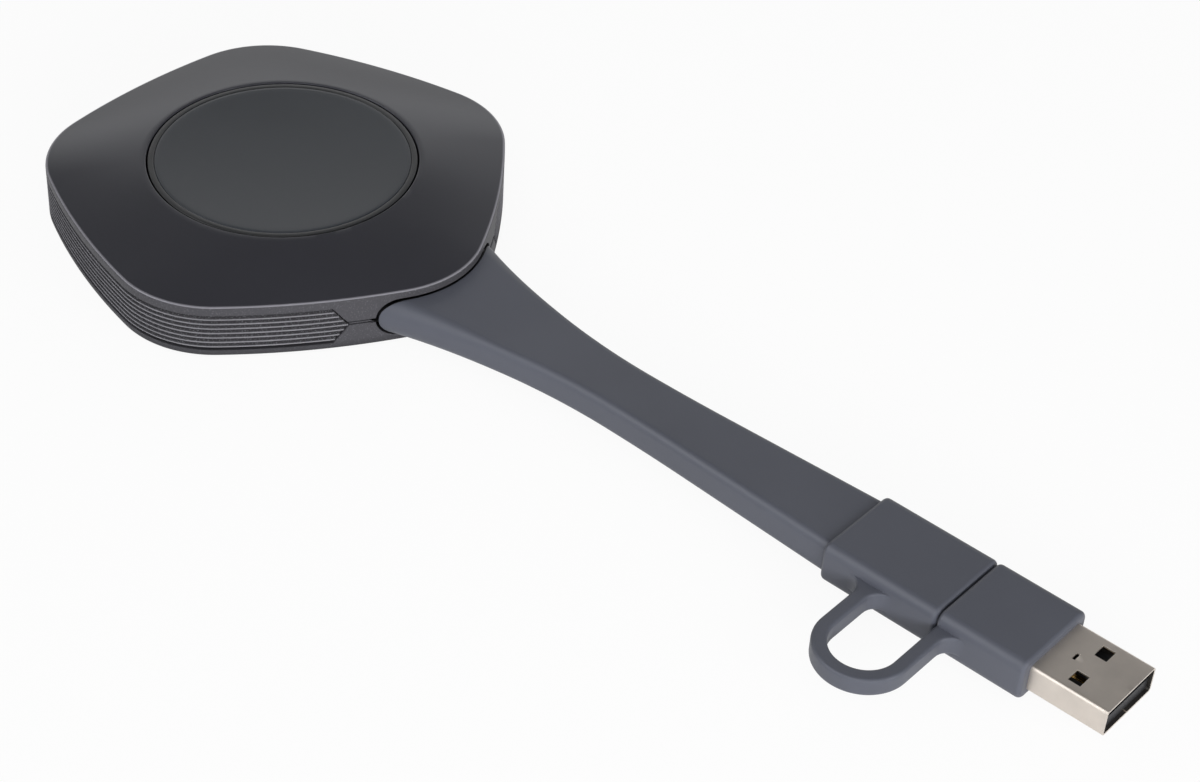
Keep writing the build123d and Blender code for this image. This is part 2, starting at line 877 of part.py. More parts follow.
def c_plug_inside(x0, x1):
    """The inside of the USB-C plug's shell."""
    return slot_bar(c_plug_width - 2 * c_plug_wall, c_plug_height - 2 * c_plug_wall, x0, x1)


def make_c_plug_shell():
    """The drawn metal shell of the USB-C plug."""
    return c_plug_bar(c_root_x, c_tip_x) - c_plug_inside(c_root_x - over, c_tip_x + over)


def c_contact_strips(x0, x1, height, thickness):
    """Two rows of strips centred on a height above and below the tail's middle."""
    strips = []
    for k in range(c_contact_count):
        middle = (k - (c_contact_count - 1) / 2) * c_contact_pitch
        y0 = middle - c_contact_width / 2
        for z in (tail_z - height, tail_z + height):
            low = z - thickness / 2
            strips.append(block(x0, x1, y0, y0 + c_contact_width, low, low + thickness))
    return Part() + strips


def make_c_plug_contacts():
    """The USB-C plug's contacts, on both faces of its slot."""
    start = sleeve_end_x + c_slot_floor
    end = c_tip_x - c_lip_set_back - c_contact_pitch
    return c_contact_strips(start, end, c_slot_height / 2, c_contact_thickness)


def make_c_plug_insulator():
    """The plastic core of the USB-C plug."""
    core = c_plug_inside(c_root_x, c_tip_x - c_lip_set_back)
    slot = tail_box(sleeve_end_x + c_slot_floor, c_tip_x + over, c_slot_width, c_slot_height)
    return core - slot - make_c_plug_contacts()


def make_c_socket_shell():
    """The socket's metal shell in the adapter."""
    outer = slot_bar(socket_outer_width, socket_outer_height, adapter_start_x, socket_end_x)
    return outer - slot_bar(
        socket_inner_width, socket_inner_height, adapter_start_x - over, socket_end_x + over
    )


def make_c_socket_contacts():
    """Contacts set flush into the socket's tongue."""
    start = adapter_start_x + c_tongue_set_back + c_contact_pitch
    height = (c_tongue_thickness - c_contact_thickness) / 2
    return c_contact_strips(start, socket_base_x, height, c_contact_thickness)


def make_c_socket_tongue():
    """The socket's tongue and its base."""
    base = slot_bar(socket_inner_width, socket_inner_height, socket_base_x, socket_end_x)
    start = adapter_start_x + c_tongue_set_back
    tongue = tail_box(start, socket_base_x, c_tongue_width, c_tongue_thickness)
    return base + tongue - make_c_socket_contacts()


def adapter_core_bar():
    """The outside of the adapter's hard core."""
    return tail_box(
        adapter_core_start_x,
        adapter_core_end_x,
        2 * adapter_core_half_width,
        2 * adapter_core_half_height,
    )


def a_plug_bar(x0, x1):
    """The outside of the USB-A plug."""
    return round_bar(a_plug_width, a_plug_height, a_plug_round, x0, x1)


def socket_bar(x0, x1):
    """The outside of the socket."""
    return slot_bar(socket_outer_width, socket_outer_height, x0, x1)


def make_adapter_jacket():
    """The soft block round the adapter."""
    jacket = end_rounded_bar(adapter_start_x, adapter_end_x) - adapter_core_bar()
    socket_hole = socket_bar(adapter_start_x, adapter_core_start_x)
    return jacket - socket_hole - a_plug_bar(adapter_core_end_x, adapter_end_x)


def make_adapter_core():
    """The hard core that holds the socket, the board and the plug's root."""
    board_room_width = adapter_board_width + board_room_spare
    room = tail_box(socket_end_x, a_root_x, board_room_width, adapter_room_height)
    socket_hole = socket_bar(adapter_core_start_x, socket_end_x)
    return adapter_core_bar() - socket_hole - room - a_plug_bar(a_root_x, adapter_core_end_x)


def make_adapter_board():
    """The little board between socket and plug."""
    return tail_box(socket_end_x, a_root_x, adapter_board_width, adapter_board_thickness)


def make_a_plug_shell():
    """The folded metal shell of the USB-A plug, with its latch windows."""
    inside = round_bar(a_inner_width, a_inner_height, a_inner_round, a_root_x - over, plug_tip_x + over)
    shell = a_plug_bar(a_root_x, plug_tip_x) - inside
    window_x = plug_tip_x - a_window_from_tip
    slot_x = plug_tip_x - a_slot_from_tip
    for y in (-a_window_y, a_window_y):
        y0 = y - a_window_width / 2
        shell = shell - block(
            window_x - a_window_length / 2,
            window_x + a_window_length / 2,
            y0,
            y0 + a_window_width,
            tail_z - a_plug_height,
            tail_z + a_plug_height,
        )
    slot_half = a_slot_width / 2
    slot_end_x = slot_x + a_slot_length
    return shell - block(slot_x, slot_end_x, -slot_half, slot_half, tail_z, tail_z + a_plug_height)


def make_a_plug_contacts():
    """Four contacts on the plug's tongue, the outer two longer."""
    outer = (a_contact_outer_y, a_outer_set_back)
    inner = (a_contact_inner_y, a_inner_set_back)
    z_top = a_tongue_top + a_contact_proud
    strips = []
    for y, set_back in (outer, inner):
        for side in (-1, 1):
            y0 = side * y - a_contact_width / 2
            end_x = a_tongue_end_x - set_back
            low = z_top - a_contact_thickness
            strips.append(block(a_base_end_x, end_x, y0, y0 + a_contact_width, low, z_top))
    return Part() + strips


def make_a_plug_insulator():
    """The plastic base and tongue in the USB-A plug."""
    base = round_bar(a_inner_width, a_inner_height, a_inner_round, a_root_x, a_base_end_x)
    inside = round_bar(a_inner_width, a_inner_height, a_inner_round, a_base_end_x, a_tongue_end_x)
    half = a_plug_width / 2
    lower = block(a_base_end_x - over, a_tongue_end_x, -half, half, tail_z - a_plug_height, a_tongue_top)
    return base + (inside & lower) - make_a_plug_contacts()


def make_tether_loop():
    """The soft loop that keeps the adapter with the tail."""
    y_foot = -block_width / 2
    right_x = adapter_start_x + loop_right_clearance + loop_band
    radius = (right_x - loop_left_x) / 2
    middle_x = loop_left_x + radius
    y_centre = y_foot - loop_reach + radius
    low = tail_z - loop_height / 2
    high = tail_z + loop_height / 2
    outer = disc(radius, low, high, (middle_x, y_centre))
    outer = outer + block(loop_left_x, right_x, y_centre, y_foot, low, high)
    hole_radius = radius - loop_band
    hole = disc(hole_radius, low - over, high + over, (middle_x, y_centre))
    hole = hole + block(
        middle_x - hole_radius, middle_x + hole_radius, y_centre, y_foot + over, low - over, high + over
    )
    band = outer - hole
    rims = [
        edge
        for edge in band.edges()
        if abs(edge.center().Z - tail_z) > loop_height / 4 and edge.center().Y < y_foot - loop_round
    ]
    band = fillet(rims, loop_round)
    left_inner_x = loop_left_x + loop_band
    for x, side in ((loop_left_x, -1), (left_inner_x, 1), (right_x, 1)):
        corner_x = x + side * loop_foot_round
        y_low = y_foot - loop_foot_round
        wedge = block(min(x, corner_x), max(x, corner_x), y_low, y_foot, low + loop_round, high - loop_round)
        band = band + (wedge - disc(loop_foot_round, low, high, (corner_x, y_low)))
    return band


pieces = [
    make_top_cover,
    make_bottom_cover,
    make_grip_band,
    make_base_pad,
    make_case_screws,
    make_button_disc,
    make_button_cap,
    make_light_ring,
    make_return_springs,
    make_switch_body,
    make_switch_plunger,
    make_main_board,
    make_board_screws,
    make_status_leds,
    make_radio_board,
    make_radio_chip,
    make_radio_shield,
    make_memory_chip,
    make_processor_chip,
    make_thermal_pad,
    make_heat_plate,
    make_power_coils,
    make_capacitors,
    make_antennas,
    make_antenna_leads,
    make_tail_connector,
    make_tail_core,
    make_tail_strap,
    make_tail_clamp,
    make_clamp_screws,
    make_plug_sleeve,
    make_sleeve_core,
    make_c_plug_board,
    make_c_plug_shell,
    make_c_plug_insulator,
    make_c_plug_contacts,
    make_tether_loop,
    make_adapter_jacket,
    make_adapter_core,
    make_c_socket_shell,
    make_c_socket_tongue,
    make_c_socket_contacts,
    make_adapter_board,
    make_a_plug_shell,
    make_a_plug_insulator,
    make_a_plug_contacts,
]

os.makedirs("parts", exist_ok=True)
for make_piece in pieces:
    node = make_piece.__name__.removeprefix("make_")
    export_step(make_piece(), f"parts/{node}.step")
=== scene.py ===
"""Dresses the wireless presentation dongle over its CAD frame and sets up its studio.

Everything is in metres, with +Z up and +X running along the tail to the plug.
"""

import math

import bmesh
import bpy
import numpy as np
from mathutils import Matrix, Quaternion, Vector


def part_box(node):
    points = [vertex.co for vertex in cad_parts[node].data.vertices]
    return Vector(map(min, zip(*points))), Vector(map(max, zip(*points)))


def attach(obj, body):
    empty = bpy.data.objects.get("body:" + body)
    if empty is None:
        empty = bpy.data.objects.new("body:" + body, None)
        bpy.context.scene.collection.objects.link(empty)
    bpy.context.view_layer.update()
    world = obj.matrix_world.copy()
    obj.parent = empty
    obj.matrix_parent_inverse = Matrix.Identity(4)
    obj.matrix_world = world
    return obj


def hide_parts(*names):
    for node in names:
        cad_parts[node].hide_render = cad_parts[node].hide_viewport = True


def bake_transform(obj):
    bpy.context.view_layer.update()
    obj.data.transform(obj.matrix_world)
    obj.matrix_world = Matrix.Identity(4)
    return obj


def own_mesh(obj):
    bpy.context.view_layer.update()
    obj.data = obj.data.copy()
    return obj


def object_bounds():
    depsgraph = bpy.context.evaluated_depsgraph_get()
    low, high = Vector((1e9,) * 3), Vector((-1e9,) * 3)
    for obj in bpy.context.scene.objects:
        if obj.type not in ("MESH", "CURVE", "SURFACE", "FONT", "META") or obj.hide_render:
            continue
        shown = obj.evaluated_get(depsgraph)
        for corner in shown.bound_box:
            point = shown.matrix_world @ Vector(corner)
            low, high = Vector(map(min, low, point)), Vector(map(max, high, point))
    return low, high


bl_info = {
    "name": "Presentation dongle",
    "version": (1, 0, 0),
    "blender": (4, 5, 0),
    "location": "3D View > Sidebar > Dongle",
    "description": "Dresses the dongle's pieces over its CAD frame and lights them",
    "category": "Object",
}

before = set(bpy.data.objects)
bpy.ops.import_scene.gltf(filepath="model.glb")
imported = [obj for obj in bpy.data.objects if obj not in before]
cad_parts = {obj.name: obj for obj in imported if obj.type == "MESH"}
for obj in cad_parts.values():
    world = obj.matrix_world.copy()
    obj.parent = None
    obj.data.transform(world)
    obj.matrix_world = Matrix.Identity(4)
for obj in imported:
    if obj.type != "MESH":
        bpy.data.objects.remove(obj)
CAD_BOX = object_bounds()

MM = 0.001
MERGE = 1e-6
HAIR = 0.001 * MM
SHARP_ANGLE = math.radians(38)
MIDDLE_SHARE = 0.02
WARP_REACH = 14 * MM

FRONT_SAMPLES = 3000
REAR_COLUMNS = 150
CROWN_ROWS = 17
ROWS_PER_RIB = 12
BAND_COLUMNS = 361
LATHE_COLUMNS = 240
DISH_ROWS = 24
STRAP_ROWS = 141
LEAD_ROWS = 90
TETHER_STEPS = 61


def half_tall(low, high):
    """Half the height between a node's two corners."""
    return (high[2] - low[2]) / 2


def corner_box(node):
    """A node's lowest and highest corner as two arrays."""
    low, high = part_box(node)
    return np.array(low), np.array(high)


COVER_LOW, COVER_HIGH = corner_box("top_cover")
SHELL_LOW, SHELL_HIGH = corner_box("bottom_cover")
BAND_LOW, BAND_HIGH = corner_box("grip_band")
PAD_LOW, PAD_HIGH = corner_box("base_pad")
FACE_LOW, FACE_HIGH = corner_box("button_disc")
RING_LOW, RING_HIGH = corner_box("light_ring")
STRAP_LOW, STRAP_HIGH = corner_box("tail_strap")
LEAD_LOW, LEAD_HIGH = corner_box("tail_core")
SLEEVE_LOW, SLEEVE_HIGH = corner_box("plug_sleeve")
SLEEVE_CORE_LOW, SLEEVE_CORE_HIGH = corner_box("sleeve_core")
JACKET_LOW, JACKET_HIGH = corner_box("adapter_jacket")
JACKET_CORE_LOW, JACKET_CORE_HIGH = corner_box("adapter_core")
LOOP_LOW, LOOP_HIGH = corner_box("tether_loop")
A_PLUG_LOW, A_PLUG_HIGH = corner_box("a_plug_shell")
C_PLUG_LOW, C_PLUG_HIGH = corner_box("c_plug_shell")
SOCKET_LOW, SOCKET_HIGH = corner_box("c_socket_shell")

SIDES = 5
HALF_TURN = math.pi / SIDES
TAIL_Z = (A_PLUG_LOW[2] + A_PLUG_HIGH[2]) / 2


def length_setting(name, description, millimetres):
    """A length that a user may change, given in millimetres and kept in metres."""
    return bpy.props.FloatProperty(
        name=name, description=description, default=millimetres * MM, unit="LENGTH", precision=5
    )


def share_setting(name, description, default):
    """A plain number from nought to one."""
    return bpy.props.FloatProperty(
        name=name, description=description, default=default, min=0.0, max=1.0, subtype="FACTOR"
    )


def number_setting(name, description, default):
    """A plain number."""
    return bpy.props.FloatProperty(name=name, description=description, default=default)


def angle_setting(name, description, degrees):
    """An angle, given in degrees and kept in radians."""
    return bpy.props.FloatProperty(
        name=name, description=description, default=math.radians(degrees), subtype="ANGLE"
    )


def count_setting(name, description, default):
    """A whole number of at least one."""
    return bpy.props.IntProperty(name=name, description=description, default=default, min=1)


def colour_setting(name, description, default):
    """A linear colour."""
    return bpy.props.FloatVectorProperty(
        name=name, description=description, default=default, min=0.0, max=1.0, subtype="COLOR"
    )


class PuckSettings(bpy.types.PropertyGroup):
    """Sizes and colours of the two covers and the pad."""

    corner_radius: length_setting("Corner radius", "Radius of the puck's round corners", 17)
    wall: length_setting("Wall", "Thickness of the covers' walls", 2.6)
    rim_height: length_setting("Rim height", "Height at which the wall meets the crown", 9.8)
    rim_round: length_setting("Rim rounding", "Radius of the edge between wall and crown", 0.3)
    crown_bulge: length_setting("Crown bulge", "How far the crown rises over a plain cone", 0.22)
    well_radius: length_setting("Well radius", "Radius of the button's well", 21.9)
    lip_round: length_setting("Lip rounding", "Radius of the well's upper edge", 0.2)
    collar: length_setting("Collar", "Thickness of the wall round the well", 1.2)
    collar_low: length_setting("Collar height", "Height of the collar's lower edge", 8.9)
    ceiling: length_setting("Ceiling", "Thickness of the crown", 1.5)
    foot_round: length_setting("Foot rounding", "Radius of the puck's lower edge", 0.7)
    floor_top: length_setting("Floor height", "Height of the floor inside the puck", 2.0)
    gap: length_setting("Parting gap", "Gap between the two covers", 0.6)
    gap_round: length_setting("Gap rounding", "Radius of the edges along the gap", 0.14)
    pad_inset: length_setting("Pad inset", "How far the pad's recess is from the wall", 4.0)
    pad_round: length_setting("Pad rounding", "Radius of the pad's lower edge", 0.35)
    opening_half: length_setting("Opening", "Half the width of the tail's opening", 12.78)
    opening_round: length_setting("Opening rounding", "Radius of the opening's ends", 3.4)
    bead_inset: length_setting("Bead inset", "How far the parting gap's bead is set back", 0.12)
    bead_groove: length_setting("Bead groove", "Depth of the grooves beside that bead", 0.5)
    edge_break: length_setting("Edge break", "Bevel along the edges of the band's recess", 0.12)
    # The crown's colour is darker than the walls': partly its smooth satin finish, partly painted
    # shade on the upward faces
    colour: colour_setting("Crown colour", "Colour of the smooth crown", (0.027, 0.027, 0.033))
    wall_colour: colour_setting("Wall colour", "Colour of the sandy walls", (0.052, 0.051, 0.057))
    pad_colour: colour_setting("Pad colour", "Colour of the pad underneath", (0.022, 0.022, 0.024))


class BandSettings(bpy.types.PropertyGroup):
    """Sizes and colour of the ribbed grip band."""

    depth: length_setting("Depth", "How deep the band is let into the wall", 1.1)
    point_half: length_setting("Point", "Half the gap between the band's two points", 16.2)
    shoulder_half: length_setting("Shoulder", "Half the gap at the band's edges", 18.4)
    gap: length_setting("End gap", "Gap between the band and the covers", 0.28)
    rib_count: count_setting("Ribs", "How many ribs run round the band", 7)
    rib_depth: length_setting("Rib depth", "Depth of the grooves between the ribs", 0.46)
    colour: colour_setting("Band colour", "Colour of the ribs' crests", (0.203, 0.201, 0.220))


class ButtonSettings(bpy.types.PropertyGroup):
    """Sizes and colours of the button's face and its ring."""

    dish: length_setting("Dish", "How deep the face is dished", 0.5)
    face_edge: length_setting("Face edge", "Width of the flat edge of the face", 0.6)
    edge_round: length_setting("Edge rounding", "Radius of the edges of face and ring", 0.14)
    ring_gap: length_setting("Ring gap", "Gap between the face and the ring", 0.03)
    ring_width: length_setting("Ring width", "From the face's edge to the ring's outside", 1.05)
    travel: length_setting("Travel", "How far the button goes in", 0.4)
    hook_reach: length_setting("Hook reach", "How far the ring's hooks stand out", 0.95)
    hook_height: length_setting("Hook height", "Height of the ring's hooks", 0.95)
    hook_count: count_setting("Hooks", "How many hooks hold the ring", 4)
    hook_angle: angle_setting("Hook angle", "Angle that one hook takes of the ring", 14)
    face_colour: colour_setting("Face colour", "Colour of the button's face", (0.024, 0.028, 0.035))
    ring_colour: colour_setting("Ring colour", "Colour of the smoked ring", (0.018, 0.019, 0.021))


class TailSettings(bpy.types.PropertyGroup):
    """Sizes and colour of the soft tail, its end blocks and the tether."""

    seam_depth: length_setting("Seam depth", "Depth of the step where the strap comes out", 0.9)
    seam_proud: length_setting("Seam place", "How far outside the puck's wall that step is", 0.05)
    seam_back: length_setting("Seam reach", "How far the step goes back into the wall", 1.5)
    seam_round: length_setting("Seam rounding", "Radius of the step's edge", 0.18)
    shade_x: length_setting("Shade", "Middle of the circle inside which the root is dark", 19.8)
    wall_follow: length_setting("Wall follow", "Length over which rows stop following the wall", 16)
    root_x: length_setting("Root", "Where the tongue ends", 32)
    flare_x: length_setting("Flare", "Where the strap starts to narrow", 34)
    waist_x: length_setting("Waist", "Where the strap is narrowest", 74)
    waist_half: length_setting("Waist half", "Half the strap's least width", 5.3)
    swell_radius: length_setting("Swell radius", "Radius of the curve after the waist", 360)
    swell_length: length_setting("Swell length", "Length of the curve after the waist", 15)
    thin_x: length_setting("Thin place", "Where the strap has become thin", 56)
    thin: length_setting("Thickness", "The strap's least thickness", 5.0)
    end_thickness: length_setting("End thickness", "The strap's thickness at the sleeve", 5.8)
    root_round: length_setting("Root rounding", "Rounding of the strap's sides at the puck", 3.1)
    end_round: length_setting("Side rounding", "Rounding of the strap's sides along the tail", 1.3)
    neck_half: length_setting("Neck", "Half the width of the neck in the sleeve", 5.3)
    neck_thickness: length_setting("Neck thickness", "Thickness of neck and tongue", 4.4)
    tongue_half: length_setting("Tongue", "Half the width of the tongue in the puck", 12)
    strap_gap: length_setting("Strap gap", "Gap between the strap and the sleeve", 0.1)
    neck_length: length_setting("Neck length", "Length of the neck in the sleeve", 2.9)
    grip: length_setting("Grip", "How far the sleeve reaches over the strap", 2.0)
    bend_start: length_setting("Bend start", "Where the strap starts to follow a bend", 54)
    bend_end: length_setting("Bend end", "Where the strap follows a bend wholly", 98)
    block_round: length_setting("Block rounding", "Rounding along the two end blocks", 1.6)
    block_end_round: length_setting("Block ends", "Rounding at the blocks' ends", 0.7)
    loop_band: length_setting("Loop band", "Width of the tether's band", 2.3)
    loop_round: length_setting("Loop rounding", "Rounding of the tether's edges", 0.5)
    loop_foot: length_setting("Loop feet", "Radius where the tether meets the blocks", 2.6)
    colour: colour_setting("Silicone colour", "Colour of the soft tail", (0.071, 0.076, 0.096))


class PlugSettings(bpy.types.PropertyGroup):
    """Sizes and colours of the metal plugs."""

    wall: length_setting("Shell wall", "Thickness of the plugs' sheet metal", 0.3)
    corner: length_setting("Shell corners", "Radius of the wide plug's long edges", 0.6)
    edge_round: length_setting("Edge rounding", "Radius of the sheet metal's edges", 0.03)
    window_from_tip: length_setting("Windows", "From the tip to the windows' middle", 6.4)
    window_y: length_setting("Window place", "From the plug's middle to a window's middle", 3.2)
    window_length: length_setting("Window length", "Size of a window along the plug", 2.0)
    window_width: length_setting("Window width", "Size of a window across the plug", 2.4)
    slot_from_tip: length_setting("Slot", "From the tip to the small slot", 9.2)
    slot_length: length_setting("Slot length", "Size of the small slot along the plug", 0.5)
    slot_width: length_setting("Slot width", "Size of the small slot across the plug", 1.4)
    seam: length_setting("Seam", "Width of the folded shell's seam underneath", 0.08)
    colour: colour_setting("Nickel colour", "Colour of the plated shells", (0.80, 0.735, 0.67))


class StudioSettings(bpy.types.PropertyGroup):
    """Camera and lights."""

    camera_x: length_setting("Camera X", "Place of the camera along the tail", 262.362)
    camera_y: length_setting("Camera Y", "Place of the camera across the tail", -241.444)
    camera_z: length_setting("Camera Z", "Height of the camera", 257.715)
    azimuth: angle_setting("Azimuth", "Where the camera looks from, round the object", 38.727)
    elevation: angle_setting("Elevation", "Where the camera looks from, above the floor", 39.356)
    roll: angle_setting("Roll", "How far the camera is turned about its line of sight", 4.04)
    lens: number_setting("Lens", "Focal length in millimetres on a 36 mm wide sensor", 79.587)
    world_fill: number_setting("World fill", "Strength of the even light from all round", 0.40)
    zenith: share_setting("Zenith", "How bright the studio's ceiling looks in gloss", 0.08)
    horizon: share_setting("Horizon", "How bright the studio's walls look in gloss", 0.56)
    panel: number_setting("Soft panel", "Strength of the panel seen only in gloss", 2.2)
    key: number_setting("Key light", "Power of the lamp beside the camera", 1.0)
    side: number_setting("Side light", "Power of the low strip light at the near side", 4.4)
    edge: number_setting("Edge light", "Power of the small lamp at the near left", 0.10)
    tip: number_setting("Tip light", "Power of the lamp beyond the plug", 1.1)
    rear: number_setting("Rear light", "Power of the strip light behind the puck", 0.45)
    floor_colour: colour_setting("Floor", "Colour of the floor", (0.80, 0.80, 0.80))
    floor_white: share_setting("Floor white", "How much of the floor is plain white", 0.93)
    floor_gloss: share_setting("Floor in gloss", "How much of it is plain white in gloss", 0.50)


def piece_from_grid(name, points, body, material, node, faces=None):
    """A closed mesh piece from a grid of points, which takes the place of a CAD node.

    Its faces lie between neighbouring rows unless they are given. Points that coincide become one,
    so poles and seams close, and faces are then turned outwards.
    """
    if faces is None:
        faces = grid_faces(points.shape)
    mesh = bpy.data.meshes.new(name)
    mesh.from_pydata(points.reshape(-1, 3).tolist(), [], faces.tolist())
    work = bmesh.new()
    work.from_mesh(mesh)
    bmesh.ops.remove_doubles(work, verts=work.verts, dist=MERGE)
    bmesh.ops.dissolve_degenerate(work, edges=work.edges, dist=MERGE)
    bmesh.ops.recalc_face_normals(work, faces=work.faces)
    work.to_mesh(mesh)
    work.free()
    mesh.shade_smooth()
    mesh.set_sharp_from_angle(angle=SHARP_ANGLE)
    mesh.materials.append(material)
    piece = bpy.data.objects.new(name, mesh)
    bpy.context.scene.collection.objects.link(piece)
    shading = piece.modifiers.new("Even shading", "WEIGHTED_NORMAL")
    shading.keep_sharp = True
    if body:
        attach(piece, body)
    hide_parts(node)
    return piece


def grid_faces(shape, close_rows=False, close_columns=True):
    """Four-cornered faces between neighbouring rows and columns of a grid."""
    rows, columns = shape[:2]
    row_count = rows if close_rows else rows - 1
    column_count = columns if close_columns else columns - 1
    row, column = np.meshgrid(np.arange(row_count), np.arange(column_count), indexing="ij")
    next_row = (row + 1) % rows
    next_column = (column + 1) % columns
    corners = [
        row * columns + column,
        row * columns + next_column,
        next_row * columns + next_column,
        next_row * columns + column,
    ]
    return np.stack(corners, axis=-1).reshape(-1, 4)


def capped(points):
    """The grid with a first and a last row that close it in the middle of its ends."""
    first = np.broadcast_to(points[0].mean(axis=0), points[0].shape)
    last = np.broadcast_to(points[-1].mean(axis=0), points[-1].shape)
    return np.concatenate([first[None], points, last[None]])


class Outline:
    """The puck's outline: five bowed sides and five round corners, one corner at the tail.

    A point is found by its distance along the outline from the front corner. That distance gives
    the direction that the outline faces, and the point lies at the radius of its own arc from that
    arc's centre. An inset shortens the radius.
    """

    def __init__(self, corner_radius):
        apothem = -COVER_LOW[0]
        self.corner_radius = corner_radius
        self.corner_centre = COVER_HIGH[0] - corner_radius
        run = apothem - corner_radius
        spare = self.corner_centre * math.cos(HALF_TURN) - run
        self.side_back = (run**2 - self.corner_centre**2) / (2 * spare)
        self.side_radius = apothem + self.side_back
        self.join_turn = math.atan2(
            self.side_back * math.sin(HALF_TURN),
            self.corner_centre + self.side_back * math.cos(HALF_TURN),
        )
        join_x = self.corner_centre + corner_radius * math.cos(self.join_turn)
        join_y = corner_radius * math.sin(self.join_turn)
        self.join_polar = math.atan2(join_y, join_x)
        self.turns = self.breaks(self.join_turn)
        self.polars = self.breaks(self.join_polar)
        radii = [self.corner_radius, self.side_radius, self.corner_radius, self.side_radius]
        radii += [self.corner_radius, self.side_radius]
        steps = np.diff(self.turns) * np.array(radii)
        self.lengths = np.concatenate([[0.0], np.cumsum(steps)])
        self.half_length = self.lengths[-1]
        self.front = np.linspace(0, self.half_length / 4, FRONT_SAMPLES)
        self.front_x, self.front_y = self.points(self.front, 0.0)

    def breaks(self, join):
        """Angles at which the arcs of one half of the outline start and end."""
        turn = 2 * HALF_TURN
        middles = np.array([turn, 2 * turn])
        around = np.stack([middles - join, middles + join], axis=-1).ravel()
        return np.array([0, join, *around, math.pi])

    def points(self, length, inset):
        """Plan places at a distance along the outline, drawn in by an inset."""
        turn = np.sign(length) * np.interp(np.abs(length), self.lengths, self.turns)
        corner = np.round(turn / (2 * HALF_TURN)) * 2 * HALF_TURN
        past = turn - corner
        on_corner = np.abs(past) <= self.join_turn
        side = corner + np.sign(past) * HALF_TURN
        centre_turn = np.where(on_corner, corner, side)
        centre_out = np.where(on_corner, self.corner_centre, -self.side_back)
        radius = np.where(on_corner, self.corner_radius, self.side_radius) - inset
        x = centre_out * np.cos(centre_turn) + radius * np.cos(turn)
        y = centre_out * np.sin(centre_turn) + radius * np.sin(turn)
        return x, y

    def round_points(self, length, radius):
        """Plan places on a circle, matched arc by arc to the outline."""
        polar = np.sign(length) * np.interp(np.abs(length), self.lengths, self.polars)
        return radius * np.cos(polar), radius * np.sin(polar)

    def length_at(self, y):
        """How far along the outline a place at the front is, by its distance from the middle."""
        return np.interp(y, self.front_y, self.front)


def wall_fall(outline, y):
    """How far the wall has fallen back from the front corner, at a distance from the middle."""
    return np.interp(np.abs(y), outline.front_y, outline.front_x) - COVER_HIGH[0]


def quarter(steps, start=0.0, end=90.0):
    """Angles of an arc in radians, both ends included."""
    return np.radians(np.linspace(start, end, steps + 1))


def edge_arc(radius, steps):
    """Steps round an edge: the radius times one less the sine, and times one less the cosine."""
    turns = quarter(steps)
    return [(radius * (1 - math.sin(turn)), radius * (1 - math.cos(turn))) for turn in turns]


def drawn_in(row, shares):
    """Copies of a row, each drawn in to a share of its size about the upright axis."""
    return [row * np.array([share, share, 1]) for share in shares]


class PuckGrid:
    """Columns round the puck that meet the tail's opening and the band's pointed ends."""

    def __init__(self, puck, band):
        self.outline = Outline(puck.corner_radius)
        self.puck = puck
        self.band = band
        self.flat_half = puck.opening_half - puck.opening_round
        arch = self.flat_half + puck.opening_round * np.sin(quarter(14))
        front = [
            np.linspace(0, self.flat_half, 10)[:-1],
            arch[:-1],
            np.linspace(puck.opening_half, band.point_half, 6),
        ]
        lengths = self.outline.length_at(np.concatenate(front))
        self.point_length = lengths[-1]
        self.opening_length = self.outline.length_at(puck.opening_half)
        rest = np.linspace(self.point_length, self.outline.half_length, REAR_COLUMNS)
        lengths[-1] -= puck.edge_break
        half = np.concatenate([lengths, rest[:1], rest])
        banded = np.zeros(len(half))
        banded[len(lengths)] = puck.edge_break / band.depth
        banded[len(lengths) + 1 :] = 1.0
        self.lengths = np.concatenate([half, -half[-2:0:-1]])
        self.banded = np.concatenate([banded, banded[-2:0:-1]])

    def end_half(self, z):
        """Half the gap between the band's two ends at a height: least at its middle."""
        middle = (BAND_LOW[2] + BAND_HIGH[2]) / 2
        rise = BAND_HIGH[2] - middle
        slope = (self.band.shoulder_half - self.band.point_half) / rise
        return self.band.point_half + slope * np.minimum(np.abs(z - middle), rise)

    def warped(self, z):
        """Column places at a height, shifted near the front so that two follow the band's ends."""
        shift = self.outline.length_at(self.end_half(z)) - self.point_length
        away = np.abs(self.lengths) - self.point_length
        reach = np.where(away < 0, self.point_length - self.opening_length, WARP_REACH)
        share = np.clip(1 - np.abs(away) / reach, 0, 1)
        return self.lengths + np.sign(self.lengths) * shift * share

    def wall_row(self, inset, z, groove=0.0):
        """A row at an inset and a height, where the banded columns are drawn in by the groove."""
        x, y = self.outline.points(self.warped(z), inset + groove * self.banded)
        return np.stack([x, y, np.full(x.shape, z)], axis=-1)

    def well_row(self, radius, z, base_z):
        """A row on a circle round the button."""
        x, y = self.outline.round_points(self.warped(base_z), radius)
        return np.stack([x, y, np.full(x.shape, z)], axis=-1)

    def opening_rise(self, points):
        """Half the height of the tail's round-ended opening over each point, else nought."""
        past = np.clip(np.abs(points[..., 1]) - self.flat_half, 0, self.puck.opening_round)
        rise = np.sqrt(self.puck.opening_round**2 - past**2)
        return np.where(points[..., 0] > 0, rise, 0.0)


def cover_wall(grid, rows, edge, free, side):
    """Wall rows, given as insets, heights and groove depths, squeezed clear of the tail's opening.

    Heights between the parting edge and the free height are scaled linearly, so that the edge
    follows the opening's arch while the free height stays where it is.
    """
    points = np.stack([grid.wall_row(*row) for row in rows])
    rise = grid.opening_rise(points)
    arch = TAIL_Z + side * rise
    new_edge = np.maximum(edge, arch) if side > 0 else np.minimum(edge, arch)
    share = np.clip((points[..., 2] - edge) / (free - edge), 0, None)
    squeezed = new_edge + share * (free - new_edge)
    points[..., 2] = np.where(share < 1, squeezed, points[..., 2])
    return points


